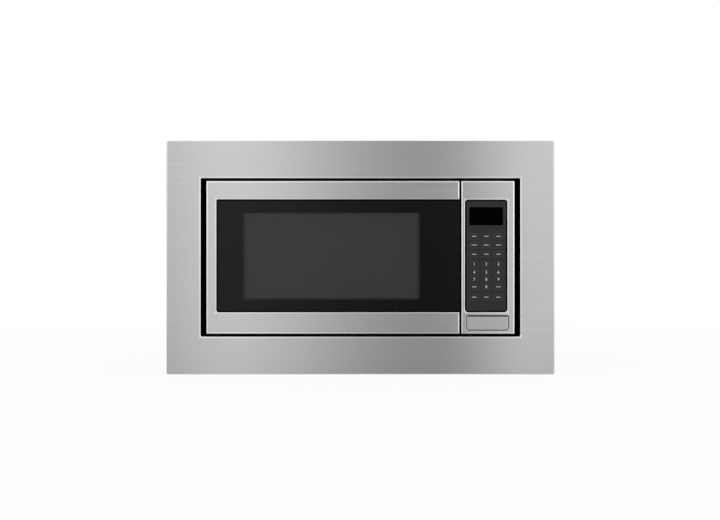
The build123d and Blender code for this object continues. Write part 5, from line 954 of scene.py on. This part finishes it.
world = bpy.data.worlds.new("studio")
bpy.context.scene.world = world
world.use_nodes = True
tree = world.node_tree
tree.nodes["Background"].inputs["Color"].default_value = WHITE
strength = ROOM_LIGHT + (1.0 - ROOM_LIGHT) * seen_ray(tree)
tree.links.new(strength.socket, tree.nodes["Background"].inputs["Strength"])


def softbox(name, place, width, height, watts):
    """A rectangular lamp that faces the oven."""
    lamp = bpy.data.lights.new(name, "AREA")
    lamp.shape = "RECTANGLE"
    lamp.size, lamp.size_y = width, height
    lamp.energy = watts
    holder = in_scene(name, lamp)
    holder.location = place
    aim = OVEN_MIDDLE - Vector(place)
    holder.rotation_euler = aim.to_track_quat("-Z", "Y").to_euler()


softbox("key_light", place=(-1.9, -2.3, 1.9), width=3.0, height=3.0, watts=30.0)
softbox("fill_light", place=(2.0, -2.1, 1.3), width=2.6, height=2.6, watts=16.0)
softbox("top_light", place=(0.2, 0.6, 2.4), width=2.8, height=2.4, watts=14.0)

# Reflection sweep: grey paper that runs along the floor towards the camera and up behind it. Only
# mirrored rays meet it, so the steel and glass show its tones: palest left of the middle, darkest
# over the right of the door, and pale again at the right.
LEFT_FADE, RIGHT_RISE = (-0.29, 0.13), (0.145, 0.35)
LEFT_END, RIGHT_END = (-0.46, -0.24), (0.3, 0.38)
NEAR_OVEN, UP_FRONT, UP_WALL = (0.3, 2.4), (0.0, 1.6), (-0.02, 0.5)
SWEEP_GAP, SWEEP_LIFT = 0.002, 0.0003
SWEEP_BACK, SWEEP_TOP, SWEEP_HALF_WIDTH = -3.0, 6.0, 2.0
SWEEP_BEND, BEND_STEPS = 0.5, 10
grey, spot = new_finish(
    "sweep_grey", base_color=(0.0, 0.0, 0.0, 1.0), specular_ior_level=0.0, emission_strength=1.0
)
ahead = trim_low.y - spot.axis("Y")
mirrored = spot.axis("X").math("DIVIDE", 1.0 + ahead * (1.0 / CAMERA_DISTANCE))
left_side = 1.0 - mirrored.ease(*LEFT_FADE)
right_side = mirrored.ease(*RIGHT_RISE)
trough = 0.42 + 0.06 * (1.0 - ahead.ease(*NEAR_OVEN))
tone = trough + (0.52 * left_side).most(0.49 * right_side)
tone = tone * (0.66 + 0.34 * mirrored.ease(*LEFT_END) - 0.08 * mirrored.ease(*RIGHT_END))
tone = tone * (0.67 + 0.2 * ahead.ease(*UP_FRONT) + 0.15 * spot.axis("Z").ease(*UP_WALL))
lay(grey, "Emission Color", tone.tint((0.0, 0.0, 0.0), (1.0, 1.0, 1.0)))
sweep_z = floor_z + SWEEP_LIFT
sweep_outline = [(trim_low.y - SWEEP_GAP, sweep_z)]
for step in range(BEND_STEPS + 1):
    angle = math.pi / 2 * step / BEND_STEPS
    y = SWEEP_BACK + SWEEP_BEND * (1.0 - math.sin(angle))
    z = sweep_z + SWEEP_BEND * (1.0 - math.cos(angle))
    sweep_outline.append((y, z))
sweep_outline.append((SWEEP_BACK, SWEEP_TOP))
sweep = sheet("reflection_sweep", grey, sweep_outline, SWEEP_HALF_WIDTH)
sweep.visible_camera = False
sweep.visible_diffuse = False
sweep.visible_transmission = False
sweep.visible_shadow = False
